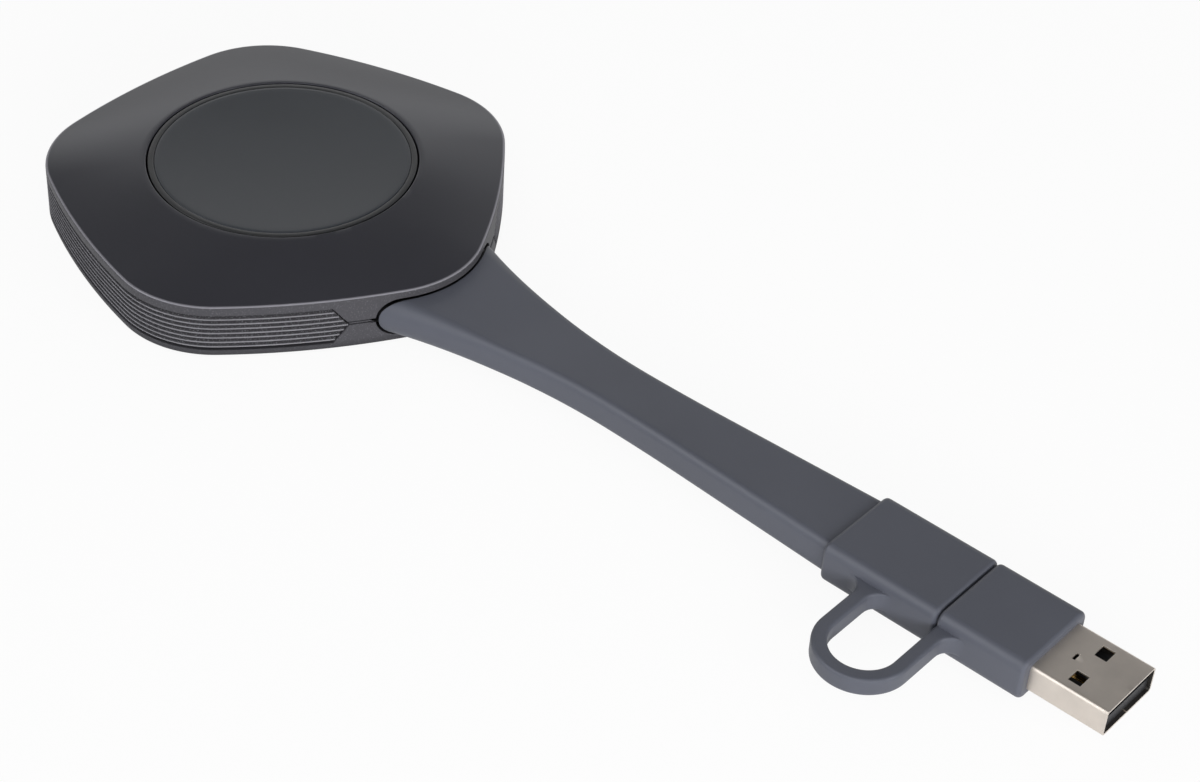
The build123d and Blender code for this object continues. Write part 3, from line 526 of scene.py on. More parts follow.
def make_cover(puck, band, material):
    """The upper cover as one closed skin: wall, band groove, rounded rim, crown, well and inside.

    The crown runs straight from the rim to the well, lifted by a parabola between them.
    """
    edge_width = 0.6 * MM
    inside_top = 8.0 * MM
    grid = PuckGrid(puck, band)
    edge = TAIL_Z + puck.gap / 2
    free = puck.rim_height - puck.rim_round
    band_top = BAND_HIGH[2]
    rows = [(edge_width, edge, band.depth)]
    rows += [(inset, edge + rise, band.depth) for inset, rise in edge_arc(puck.gap_round, 4)]
    rows += [(0.0, z, band.depth) for z in np.linspace(edge + puck.gap_round, band_top, 7)[1:]]
    rows.append((0.0, band_top, puck.edge_break))
    rows += [(0.0, z, 0.0) for z in np.linspace(band_top + puck.edge_break, free, 4)]
    outer = cover_wall(grid, rows, edge, free, 1)

    slope = (COVER_HIGH[2] - puck.rim_height) / (-COVER_LOW[0] - puck.well_radius)
    rim = []
    for turn in quarter(6, 0, 90 - math.degrees(math.atan(slope))):
        inset = puck.rim_round * (1 - math.cos(turn))
        rim.append(grid.wall_row(inset, free + puck.rim_round * math.sin(turn)))
    rim = np.stack(rim[1:])

    well_start = grid.well_row(puck.well_radius + puck.lip_round, COVER_HIGH[2], free)
    share = np.linspace(0, 1, CROWN_ROWS)[1:, None, None]
    crown = rim[-1] * (1 - share) + well_start * share
    crown[..., 2:] += 4 * puck.crown_bulge * share * (1 - share)

    lip = edge_arc(puck.lip_round, 4)[1:]
    well = [(puck.well_radius + out, COVER_HIGH[2] - fall) for out, fall in lip]
    collar_radius = puck.well_radius + puck.collar
    well.append((puck.well_radius, puck.collar_low))
    well.append((collar_radius, puck.collar_low))
    well.append((collar_radius, COVER_HIGH[2] - puck.ceiling))
    inner = [grid.well_row(radius, z, free) for radius, z in well]
    inner.append(grid.wall_row(puck.wall, puck.rim_height + slope * puck.wall - puck.ceiling))
    inside = cover_wall(grid, [(puck.wall, z, 0.0) for z in (inside_top, edge)], edge, free, 1)

    points = np.concatenate([outer, rim, crown, np.stack(inner), inside])
    faces = grid_faces(points.shape, close_rows=True)
    return piece_from_grid(
        "cover_upper", points, "case", material, "top_cover", faces
    )


def make_shell(puck, band, material):
    """The lower cover as one closed skin: recessed base, round foot, wall, lip, inside and floor.

    The lip's arch over the tail is found nearer to the wall's face, at a share of each row's inset.
    """
    recess_break = 0.1 * MM
    lip_width = 0.7 * MM
    lip_height = 0.9 * MM
    lip_arch_share = 0.45
    grid = PuckGrid(puck, band)
    edge = TAIL_Z - puck.gap / 2
    base = SHELL_LOW[2]
    foot_top = base + puck.foot_round
    recess = grid.wall_row(puck.pad_inset, PAD_HIGH[2])
    floor = drawn_in(recess, (MIDDLE_SHARE, 0.5))
    floor.append(recess)
    floor.append(grid.wall_row(puck.pad_inset, base + recess_break))
    floor.append(grid.wall_row(puck.pad_inset - recess_break, base))
    foot = [grid.wall_row(inset, base + rise) for inset, rise in edge_arc(puck.foot_round, 6)]

    rows = [(0.0, foot_top + HAIR, 0.0), (0.0, BAND_LOW[2] - puck.edge_break, 0.0)]
    rows.append((0.0, BAND_LOW[2], puck.edge_break))
    rows += [(0.0, z, band.depth) for z in np.linspace(BAND_LOW[2], edge - puck.gap_round, 6)]
    rows += [(inset, edge - fall, band.depth) for fall, inset in edge_arc(puck.gap_round, 4)[1:]]
    outer = cover_wall(grid, rows, edge, foot_top, -1)

    bead_low, bead_top = edge + puck.gap / 3, edge + 2 * puck.gap / 3
    lip_rows = [
        (puck.bead_groove, edge, band.depth),
        (puck.bead_groove, bead_low, band.depth),
        (puck.bead_inset, bead_low, band.depth),
        (puck.bead_inset, bead_top, band.depth),
        (puck.wall - lip_width, bead_top, 0.0),
        (puck.wall - lip_width, edge + lip_height, 0.0),
        (puck.wall, edge + lip_height, 0.0),
    ]
    lip = np.stack([grid.wall_row(*row) for row in lip_rows])
    arch = np.stack([grid.wall_row(lip_arch_share * inset, z) for inset, z, _ in lip_rows])
    rise = grid.opening_rise(arch)
    lip[..., 2] = np.where(rise > 0, np.minimum(TAIL_Z - rise, edge), lip[..., 2])
    inside_rows = [(puck.wall, z, 0.0) for z in (edge, puck.floor_top)]
    inside = cover_wall(grid, inside_rows, edge, foot_top, -1)
    inner_floor = drawn_in(grid.wall_row(puck.wall, puck.floor_top), (0.9, 0.5, MIDDLE_SHARE))

    parts = [np.stack(floor), np.stack(foot), outer, lip, inside, np.stack(inner_floor)]
    points = capped(np.concatenate(parts))
    return piece_from_grid("cover_lower", points, "case", material, "bottom_cover")


def make_pad(puck, band, material):
    """The pad under the puck: the outline drawn in, with a rounded lower edge."""
    clearance = 0.1 * MM
    grid = PuckGrid(puck, band)
    inset = puck.pad_inset + clearance
    low = PAD_LOW[2]
    top = grid.wall_row(inset, PAD_HIGH[2])
    rows = drawn_in(grid.wall_row(inset + puck.pad_round, low), (MIDDLE_SHARE, 0.5))
    edge = edge_arc(puck.pad_round, 5)
    rows += [grid.wall_row(inset + inward, low + rise) for inward, rise in edge]
    rows += [top] + drawn_in(top, (0.5, MIDDLE_SHARE))
    points = capped(np.stack(rows))
    return piece_from_grid("foot_pad", points, "case", material, "base_pad")


def make_band(puck, band, material):
    """The grip band: round ribs stacked up the wall, cut to two points at the tail.

    The surface draws in between the ribs as a wave: by the rib depth times half of one plus the
    cosine of a full turn for every rib.
    """
    back_clearance = 0.03 * MM
    outline = Outline(puck.corner_radius)
    grid = PuckGrid(puck, band)
    low, high = BAND_LOW[2] + band.gap, BAND_HIGH[2] - band.gap
    share = np.linspace(0, 1, ROWS_PER_RIB * band.rib_count + 1)
    z = low + (high - low) * share
    inset = band.rib_depth * (1 + np.cos(2 * math.pi * band.rib_count * share)) / 2

    end_length = outline.length_at(grid.end_half(z) + band.gap)[:, None]
    full = outline.half_length
    along = (full - end_length) * np.linspace(-1, 1, BAND_COLUMNS)[None, :]
    along = np.concatenate([along[:, :1], along, along[:, -1:]], axis=1)
    length = np.where(along < 0, -full - along, full - along)
    length = np.where(along == 0, full, length)
    middle_inset = np.full(along.shape, band.depth / 2)
    end_column = np.zeros(along.shape, bool)
    end_column[:, [0, -1]] = True
    face = np.broadcast_to(inset[:, None], along.shape)
    back = np.full(along.shape, band.depth - back_clearance)
    layers = []
    for depth in (face, back):
        x, y = outline.points(length, np.where(end_column, middle_inset, depth))
        layers.append(np.stack([x, y, np.broadcast_to(z[:, None], x.shape)], axis=-1))
    points = np.concatenate([layers[0], layers[1][::-1]])
    faces = grid_faces(points.shape, close_rows=True, close_columns=False)
    return piece_from_grid("grip_ribs", points, "case", material, "grip_band", faces)


def lathe(section):
    """Points of a section, given as radii and heights, turned about the button's axis."""
    turn = np.linspace(0, 2 * math.pi, LATHE_COLUMNS, endpoint=False)[None, :]
    radii, heights = np.array(section).T[:, :, None]
    heights = np.broadcast_to(heights, (len(section), LATHE_COLUMNS))
    return np.stack([radii * np.cos(turn), radii * np.sin(turn), heights], axis=-1)


def make_button_face(button, material):
    """The button's face: a shallow dish within a flat edge, turned about its axis."""
    underside_width = 2 * MM
    radius = FACE_HIGH[0]
    top, low = FACE_HIGH[2], FACE_LOW[2]
    reach = np.linspace(0, 1, DISH_ROWS)
    section = list(zip(reach * (radius - button.face_edge), top - button.dish * (1 - reach**2)))
    section += [(radius - inward, top - fall) for inward, fall in edge_arc(button.edge_round, 5)]
    section += [(radius, low), (radius - underside_width, low), (0.0, low)]
    points = lathe(section)
    return piece_from_grid(
        "button_face", points, "button", material, "button_disc"
    )


def make_button_ring(button, material):
    """The ring round the face, with its rounded edges and the hooks that hold it."""
    hook_sink = 0.2 * MM
    inner = FACE_HIGH[0] + button.ring_gap
    outer = FACE_HIGH[0] + button.ring_width
    top, low = RING_HIGH[2], RING_LOW[2]
    edge = edge_arc(button.edge_round, 4)
    section = [(inner, low)]
    section += [(inner + inward, top - fall) for fall, inward in edge]
    section += [(outer - inward, top - fall) for inward, fall in edge]
    section.append((outer, low))
    points = lathe(section)
    faces = [grid_faces(points.shape, close_rows=True)]
    groups = [points.reshape(-1, 3)]
    count = len(groups[0])
    hook_inner, hook_outer = outer - hook_sink, outer + button.hook_reach
    corners = [(hook_inner, 0), (hook_outer, 0), (hook_outer, 1), (hook_inner, 1)]
    for k in range(button.hook_count):
        middle = (k + 0.5) * 2 * math.pi / button.hook_count
        turn = middle + np.linspace(-0.5, 0.5, 9) * button.hook_angle
        hook = []
        for radius, lift in corners:
            z = np.full(turn.shape, low + lift * button.hook_height)
            hook.append(np.stack([radius * np.cos(turn), radius * np.sin(turn), z], axis=-1))
        hook = np.stack(hook)
        ends = np.broadcast_to(hook.mean(axis=0, keepdims=True), hook.shape)
        hook = np.concatenate([ends[:, :1], hook, ends[:, -1:]], axis=1)
        faces.append(count + grid_faces(hook.shape, close_rows=True, close_columns=False))
        groups.append(hook.reshape(-1, 3))
        count += len(groups[-1])
    points, faces = np.concatenate(groups), np.concatenate(faces)
    return piece_from_grid(
        "button_ring", points, "button", material, "light_ring", faces
    )


def make_springs(material):
    """The springs under the button: a copy of their CAD shape."""
    node = "return_springs"
    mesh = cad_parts[node].data.copy()
    mesh.materials.clear()
    mesh.materials.append(material)
    piece = bpy.data.objects.new("button_springs", mesh)
    bpy.context.scene.collection.objects.link(piece)
    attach(piece, "case")
    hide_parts(node)
    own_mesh(piece)
    return piece


def section_columns(corner_steps, wide_stops, tall_stops):
    """One trip round a rounded box: shares of its half sizes across and up, and the facing."""
    across, up, turn = [], [], []
    for quadrant in range(4):
        side = (1, -1, -1, 1)[quadrant]
        lift = (1, 1, -1, -1)[quadrant]
        angles = quarter(corner_steps, 90 * quadrant, 90 * quadrant + 90)
        across += [side] * len(angles)
        up += [lift] * len(angles)
        turn += list(angles)
        level = quadrant % 2 == 0
        for stop in wide_stops if level else tall_stops:
            across.append(side * -stop if level else side)
            up.append(lift if level else lift * -stop)
            turn.append(angles[-1])
    return np.array(across), np.array(up), np.array(turn)


def tail_rows(rows, columns):
    """Rounded box sections along the tail, each given as place, half width, half height, rounding.

    A point lies at its shares of the half sizes less the rounding, plus the rounding in the
    direction that it faces.
    """
    across, up, turn = columns
    x, half_width, half_height, rounding = np.array(rows).T[:, :, None]
    y = across * (half_width - rounding) + rounding * np.cos(turn)
    z = TAIL_Z + up * (half_height - rounding) + rounding * np.sin(turn)
    return np.stack([np.broadcast_to(x, y.shape), y, z], axis=-1)


def strap_half(tail, x):
    """Half the strap's width: an arc from the puck to the waist, then a slow swell."""
    root_half = STRAP_HIGH[1]
    gain = root_half - tail.waist_half
    run = tail.waist_x - tail.flare_x
    flare_radius = (run**2 + gain**2) / (2 * gain)
    reach = np.clip(tail.waist_x - x, 0, run)
    flare = flare_radius - np.sqrt(flare_radius**2 - reach**2)
    bend = np.clip(x - tail.waist_x, 0, tail.swell_length)
    rise = tail.swell_radius - np.sqrt(tail.swell_radius**2 - bend**2)
    slope = tail.swell_length / math.sqrt(tail.swell_radius**2 - tail.swell_length**2)
    past = np.clip(x - tail.waist_x - tail.swell_length, 0, None)
    return tail.waist_half + flare + rise + slope * past


def strap_sections(tail, x):
    """Half width, half height and rounding of the strap along the tail."""
    root_thickness = STRAP_HIGH[2] - STRAP_LOW[2]
    share = np.clip((x - tail.flare_x) / (tail.thin_x - tail.flare_x), 0, 1)
    blend = share * share * (3 - 2 * share)
    end_x = SLEEVE_LOW[0] + tail.grip
    late = np.clip((x - tail.thin_x) / (end_x - tail.thin_x), 0, 1)
    thickness = root_thickness + blend * (tail.thin - root_thickness)
    thickness = thickness + late * (tail.end_thickness - tail.thin)
    rounding = tail.root_round + blend * (tail.end_round - tail.root_round)
    return strap_half(tail, x), thickness / 2, rounding


def even_stops(count):
    """Shares between the two ends of a flat side, ends left out."""
    return list(np.linspace(-1, 1, count + 2)[1:-1])


def strap_surface(tail, outline, rows, columns):
    """Points of the strap, from rows given as a place along it and how far they are drawn in.

    Beside the middle a row falls back as the puck's wall does, less and less along the strap. A
    point's width depends on how far along it lies, so a few rounds settle both.
    """
    rounds = 8
    across, up, turn = columns
    place, inward = np.array(rows).T[:, :, None]
    follow = np.clip(1 - (place - COVER_HIGH[0]) / tail.wall_follow, 0, 1)
    x = place + np.zeros(len(across))
    for _ in range(rounds):
        half_width, half_height, rounding = strap_sections(tail, x)
        corner = rounding - inward
        y = across * (half_width - rounding) + corner * np.cos(turn)
        x = place + follow * wall_fall(outline, y)
    z = TAIL_Z + up * (half_height - rounding) + corner * np.sin(turn)
    return np.stack([x, y, z], axis=-1)


def make_strap(puck, tail, material):
    """The flat soft tail: its tongue in the puck, the step at the wall, the strap and its neck."""
    tongue_round = 1.2 * MM
    neck_round = 0.5 * MM
    tongue_clearance = 0.4 * MM
    neck_step = 0.01 * MM
    columns = section_columns(8, even_stops(11), even_stops(3))
    outline = Outline(puck.corner_radius)
    half_height = tail.neck_thickness / 2
    end_x = SLEEVE_LOW[0] + tail.grip
    seam_x = COVER_HIGH[0] + tail.seam_proud
    tongue = [
        (x, tail.tongue_half, half_height, tongue_round)
        for x in (STRAP_LOW[0], tail.root_x - tongue_clearance)
    ]
    rows = [(seam_x - tail.seam_back, tail.seam_depth), (seam_x, tail.seam_depth)]
    rows += [(seam_x + along, inward) for inward, along in edge_arc(tail.seam_round, 4)]
    strap_places = np.linspace(seam_x + tail.seam_round, end_x, STRAP_ROWS)[1:]
    rows += [(x, 0.0) for x in strap_places]
    neck = [
        (x, tail.neck_half, half_height, neck_round)
        for x in (end_x + neck_step, end_x + tail.neck_length)
    ]
    strap = strap_surface(tail, outline, rows, columns)
    points = capped(np.concatenate([tail_rows(tongue, columns), strap, tail_rows(neck, columns)]))
    return piece_from_grid("tail_soft_strap", points, "", material, "tail_strap")


def make_lead(material):
    """The flat printed lead inside the strap, as a thin rounded section along the tail."""
    edge_round = 0.1 * MM
    half_width, half_height = LEAD_HIGH[1], half_tall(LEAD_LOW, LEAD_HIGH)
    places = np.linspace(LEAD_LOW[0], LEAD_HIGH[0], LEAD_ROWS)
    rows = [(x, half_width, half_height, edge_round) for x in places]
    points = capped(tail_rows(rows, section_columns(3, even_stops(5), [])))
    return piece_from_grid("tail_flat_lead", points, "", material, "tail_core")


def block_rows(low, high, tail):
    """The outside of an end block, from one end face to the other, with rounded ends."""
    half_width, half_height = high[1], half_tall(low, high)
    start = [
        (low[0] + along, half_width - shrink, half_height - shrink, tail.block_round - shrink)
        for shrink, along in edge_arc(tail.block_end_round, 6)
    ]
    ends = low[0] + high[0]
    end = [(ends - x, width, height, rounding) for x, width, height, rounding in start[::-1]]
    return start + end


def hollow_block(name, rows, body, node, material):
    """A soft block as a tube whose rows run along its outside and back through its inside."""
    points = tail_rows(rows, section_columns(8, even_stops(9), even_stops(3)))
    faces = grid_faces(points.shape, close_rows=True)
    return piece_from_grid(name, points, body, material, node, faces)


def round_sided(low, high):
    """Half width, half height and rounding of a section whose sides are half circles."""
    half_height = half_tall(low, high)
    return high[1], half_height, half_height - HAIR


def make_sleeve(tail, material):
    """The block at the strap's end: open for the strap at one end and for the plug at the other."""
    core_round = 0.8 * MM
    core = (SLEEVE_CORE_HIGH[1], half_tall(SLEEVE_CORE_LOW, SLEEVE_CORE_HIGH), core_round)
    plug = round_sided(C_PLUG_LOW, C_PLUG_HIGH)
    grip_x = SLEEVE_LOW[0] + tail.grip
    strap_places = np.array([grip_x, SLEEVE_LOW[0]])
    strap = np.array(strap_sections(tail, strap_places)) + tail.strap_gap
    rows = block_rows(SLEEVE_LOW, SLEEVE_HIGH, tail)
    rows += [(x, *plug) for x in (SLEEVE_HIGH[0], SLEEVE_CORE_HIGH[0])]
    rows += [(x, *core) for x in (SLEEVE_CORE_HIGH[0], grip_x)]
    rows += [(x, *section) for x, section in zip(strap_places, strap.T)]
    return hollow_block("sleeve_block", rows, "tail_end", "plug_sleeve", material)


def make_jacket(tail, plug, material):
    """The block round the adapter: open for the socket at one end, for the plug at the other."""
    core_round = 0.2 * MM
    wide_plug = (A_PLUG_HIGH[1], half_tall(A_PLUG_LOW, A_PLUG_HIGH), plug.corner)
    core = (JACKET_CORE_HIGH[1], half_tall(JACKET_CORE_LOW, JACKET_CORE_HIGH), core_round)
    socket = round_sided(SOCKET_LOW, SOCKET_HIGH)
    rows = block_rows(JACKET_LOW, JACKET_HIGH, tail)
    rows += [(x, *wide_plug) for x in (JACKET_HIGH[0], JACKET_CORE_HIGH[0])]
    rows += [(x, *core) for x in (JACKET_CORE_HIGH[0], JACKET_CORE_LOW[0])]
    rows += [(x, *socket) for x in (JACKET_CORE_LOW[0], JACKET_LOW[0])]
    return hollow_block("adapter_block", rows, "adapter", "adapter_jacket", material)


def make_tether(tail, material):
    """The tether: a rounded band swept from one block round a half circle to the other.

    Its half width grows near the blocks by the foot radius less the root of that radius squared
    less the square of the way into the foot, except where the blocks' gap leaves no room.
    """
    sink = 0.1 * MM
    foot = tail.loop_foot
    foot_y = -SLEEVE_HIGH[1]
    left_x, right_x = LOOP_LOW[0] + foot, LOOP_HIGH[0] - foot
    half_band = tail.loop_band / 2
    radius = (right_x - left_x) / 2 - half_band
    middle_x = (left_x + right_x) / 2
    centre_y = LOOP_LOW[1] + radius + half_band
    near = foot_y - foot * (1 - np.cos(quarter(8)))
    arm = np.concatenate([[foot_y + sink], near, np.linspace(near[-1], centre_y, 10)[1:]])
    bend = np.linspace(0, math.pi, TETHER_STEPS)[1:-1]
    count = len(arm)
    left_arm, right_arm = np.full(count, middle_x - radius), np.full(count, middle_x + radius)
    x = np.concatenate([left_arm, middle_x - radius * np.cos(bend), right_arm])
    y = np.concatenate([arm, centre_y - radius * np.sin(bend), arm[::-1]])
    out_x = np.concatenate([np.full(count, -1.0), -np.cos(bend), np.ones(count)])
    out_y = np.concatenate([np.zeros(count), -np.sin(bend), np.zeros(count)])
    way = np.clip(y - (foot_y - foot), 0, foot)
    flare = foot - np.sqrt(np.clip(foot**2 - way**2, 0, None))
    inner_flare = np.where(x < middle_x, flare, 0.0)

    across, up, turn = section_columns(5, even_stops(3), even_stops(3))
    half_height = half_tall(LOOP_LOW, LOOP_HIGH)
    rounding = tail.loop_round
    side_flare = np.where(across[None, :] > 0, flare[:, None], inner_flare[:, None])
    reach = across * (half_band - rounding) + rounding * np.cos(turn) + side_flare * across
    places = [
        x[:, None] + out_x[:, None] * reach,
        y[:, None] + out_y[:, None] * reach,
        np.broadcast_to(
            TAIL_Z + up * (half_height - rounding) + rounding * np.sin(turn), reach.shape
        ),
    ]
    points = capped(np.stack(places, axis=-1))
    return piece_from_grid("tether_band", points, "", material, "tether_loop")


def make_a_plug(plug, material, inside):
    """The wide plug's folded shell: an outer skin with its windows, slot and seam left out.

    The sheet's thickness is then added inwards and its edges are rounded a little.
    """
    tip_length = 1.2 * MM
    flat_tolerance = 0.01 * MM
    sharpest = math.radians(50)
    half_width, half_height = A_PLUG_HIGH[1], half_tall(A_PLUG_LOW, A_PLUG_HIGH)
    flat = half_width - plug.corner
    window_inner = plug.window_y - plug.window_width / 2
    window_outer = plug.window_y + plug.window_width / 2
    stops = [window_outer, window_inner, plug.slot_width / 2, plug.seam / 2]
    shares = [-s / flat for s in stops] + [s / flat for s in stops[::-1]]
    columns = section_columns(6, shares, even_stops(2))
    window_x = A_PLUG_HIGH[0] - plug.window_from_tip
    slot_x = A_PLUG_HIGH[0] - plug.slot_from_tip
    places = [
        A_PLUG_LOW[0],
        slot_x,
        slot_x + plug.slot_length,
        window_x - plug.window_length / 2,
        window_x + plug.window_length / 2,
        A_PLUG_HIGH[0] - tip_length,
        A_PLUG_HIGH[0],
    ]
    points = tail_rows([(x, half_width, half_height, plug.corner) for x in places], columns)
    faces = grid_faces(points.shape)
    x, y, z = points.reshape(-1, 3)[faces].mean(axis=1).T
    y, z = np.abs(y), z - TAIL_Z
    level = np.abs(np.abs(z) - half_height) < flat_tolerance
    in_window = np.abs(x - window_x) < plug.window_length / 2
    in_window &= (y > window_inner) & (y < window_outer)
    in_slot = np.abs(x - slot_x - plug.slot_length / 2) < plug.slot_length / 2
    in_slot &= (y < plug.slot_width / 2) & (z > 0)
    in_seam = (y < plug.seam / 2) & (z < 0)
    kept = faces[~(level & (in_window | in_slot | in_seam))]
    piece = piece_from_grid(
        "wide_plug_shell", points, "adapter", material, "a_plug_shell", kept
    )
    top = max(piece.data.polygons, key=lambda face: face.center.z)
    if top.normal.z < 0:
        piece.data.flip_normals()
    # The inner faces that the sheet's thickness adds take the second material: darker metal as
    # painted shade inside the plug
    piece.data.materials.append(inside)
    wall = piece.modifiers.new("Sheet", "SOLIDIFY")
    wall.material_offset = 1
    wall.thickness = plug.wall
    wall.offset = -1
    wall.use_even_offset = True
    edge = piece.modifiers.new("Edges", "BEVEL")
    edge.width = plug.edge_round
    edge.segments = 2
    edge.limit_method = "ANGLE"
    edge.angle_limit = sharpest
    piece.modifiers.move(0, 2)
    return piece


def make_c_plug(plug, material):
    """The narrow plug's drawn shell: a round-sided tube with a rounded tip."""
    tip_round = 0.13 * MM
    half_width, half_height, rounding = round_sided(C_PLUG_LOW, C_PLUG_HIGH)
    tip = C_PLUG_HIGH[0]
    arc = edge_arc(tip_round, 4)
    steps = [(C_PLUG_LOW[0], 0.0)]
    steps += [(tip - back, inward) for back, inward in arc]
    steps += [(tip - back, plug.wall - outward) for outward, back in arc]
    steps.append((C_PLUG_LOW[0], plug.wall))
    rows = [(x, half_width - s, half_height - s, rounding - s) for x, s in steps]
    points = tail_rows(rows, section_columns(12, even_stops(5), []))
    faces = grid_faces(points.shape, close_rows=True)
    return piece_from_grid(
        "narrow_plug_shell", points, "tail_end", material, "c_plug_shell", faces
    )


def feed(tree, socket, source):
    """Gives a shader input the output of another node, or else a plain value."""
    if hasattr(source, "is_output"):
        tree.links.new(source, socket)
    else:
        socket.default_value = source


def add_node(tree, kind, inputs=(), **values):
    """A node with its settings and its inputs, which are given by name or number."""
    made = tree.nodes.new(kind)
    for key, value in values.items():
        setattr(made, key, value)
    for socket, source in dict(inputs).items():
        feed(tree, made.inputs[socket], source)
    return made


def spread(tree, value, low, high, to_low=0.0, to_high=1.0, **values):
    """A value carried from the span between low and high to another span."""
    spans = {"From Min": low, "From Max": high, "To Min": to_low, "To Max": to_high}
    made = add_node(tree, "ShaderNodeMapRange", {"Value": value, **spans}, **values)
    return made.outputs["Result"]


def reckon(tree, operation, first, second=0.0):
    """The outcome of one sum on plain numbers."""
    return add_node(tree, "ShaderNodeMath", {0: first, 1: second}, operation=operation).outputs[0]


def shared_group(name, count_name, count, outputs, fill):
    """A group of shader nodes that several materials use, built once.

    It takes a place and a count per metre. The fill function makes its nodes from these two, and
    gives back one output for each name.
    """
    if name not in bpy.data.node_groups:
        tree = bpy.data.node_groups.new(name, "ShaderNodeTree")
        sockets = tree.interface
        sockets.new_socket("Place", in_out="INPUT", socket_type="NodeSocketVector")
        per_metre = sockets.new_socket(count_name, in_out="INPUT", socket_type="NodeSocketFloat")
        per_metre.default_value = count
        for label in outputs:
            sockets.new_socket(label, in_out="OUTPUT", socket_type="NodeSocketFloat")
        start, end = tree.nodes.new("NodeGroupInput"), tree.nodes.new("NodeGroupOutput")
        results = fill(tree, start.outputs["Place"], start.outputs[count_name])
        for label, result in zip(outputs, results):
            tree.links.new(result, end.inputs[label])
    return bpy.data.node_groups[name]


def fill_grain(tree, place, scale):
    """Noise less the distance to the nearest cell, and the noise's peaks as specks."""
    coarse = add_node(tree, "ShaderNodeTexNoise", {"Vector": place, "Scale": scale, "Detail": 2.0})
    cells = add_node(tree, "ShaderNodeTexVoronoi", {"Vector": place, "Scale": scale})
    height = reckon(tree, "SUBTRACT", coarse.outputs["Fac"], cells.outputs["Distance"])
    return height, spread(tree, coarse.outputs["Fac"], 0.56, 0.72)


def fill_mottle(tree, place, scale):
    """The middle of a soft noise, spread out."""
    noise = add_node(tree, "ShaderNodeTexNoise", {"Vector": place, "Scale": scale, "Detail": 4.0})
    return (spread(tree, noise.outputs["Fac"], 0.3, 0.7),)


def fill_lines(tree, place, scale):
    """A fine noise, stretched along the tail."""
    stretched = add_node(tree, "ShaderNodeMapping", {"Vector": place, "Scale": (0.03, 1, 1)})
    noise = {"Vector": stretched.outputs[0], "Scale": scale, "Detail": 2.0}
    return (add_node(tree, "ShaderNodeTexNoise", noise).outputs["Fac"],)


def fill_tracks(tree, place, scale):
    """The mortar between bricks as tracks, and the middles of square cells as pads."""
    black = (0, 0, 0, 1)
    shared = {"Vector": place, "Scale": scale}
    bricks = {**shared, "Mortar Size": 0.09, "Color1": black, "Color2": black}
    tracks = add_node(tree, "ShaderNodeTexBrick", bricks).outputs["Fac"]
    cells = add_node(tree, "ShaderNodeTexVoronoi", shared, distance="CHEBYCHEV")
    return tracks, reckon(tree, "LESS_THAN", cells.outputs["Distance"], 0.16)


def moulded_grain_group():
    """Fine eroded texture of moulded plastic, as a height and as sparse bright specks."""
    return shared_group(
        "Moulded grain", "Grains per metre", 6000.0, ["Height", "Specks"], fill_grain
    )


def slow_mottle_group():
    """Slow, faint unevenness of a handled surface, from nought to one."""
    return shared_group("Slow mottle", "Patches per metre", 60.0, ["Tone"], fill_mottle)


def drawn_lines_group():
    """Fine lines along a drawn or rolled metal part, from nought to one."""
    return shared_group("Drawn lines", "Lines per metre", 9000.0, ["Lines"], fill_lines)


def board_tracks_group():
    """Copper tracks and solder pads under a board's lacquer, as two masks."""
    return shared_group(
        "Board tracks", "Tracks per metre", 700.0, ["Tracks", "Pads"], fill_tracks
    )


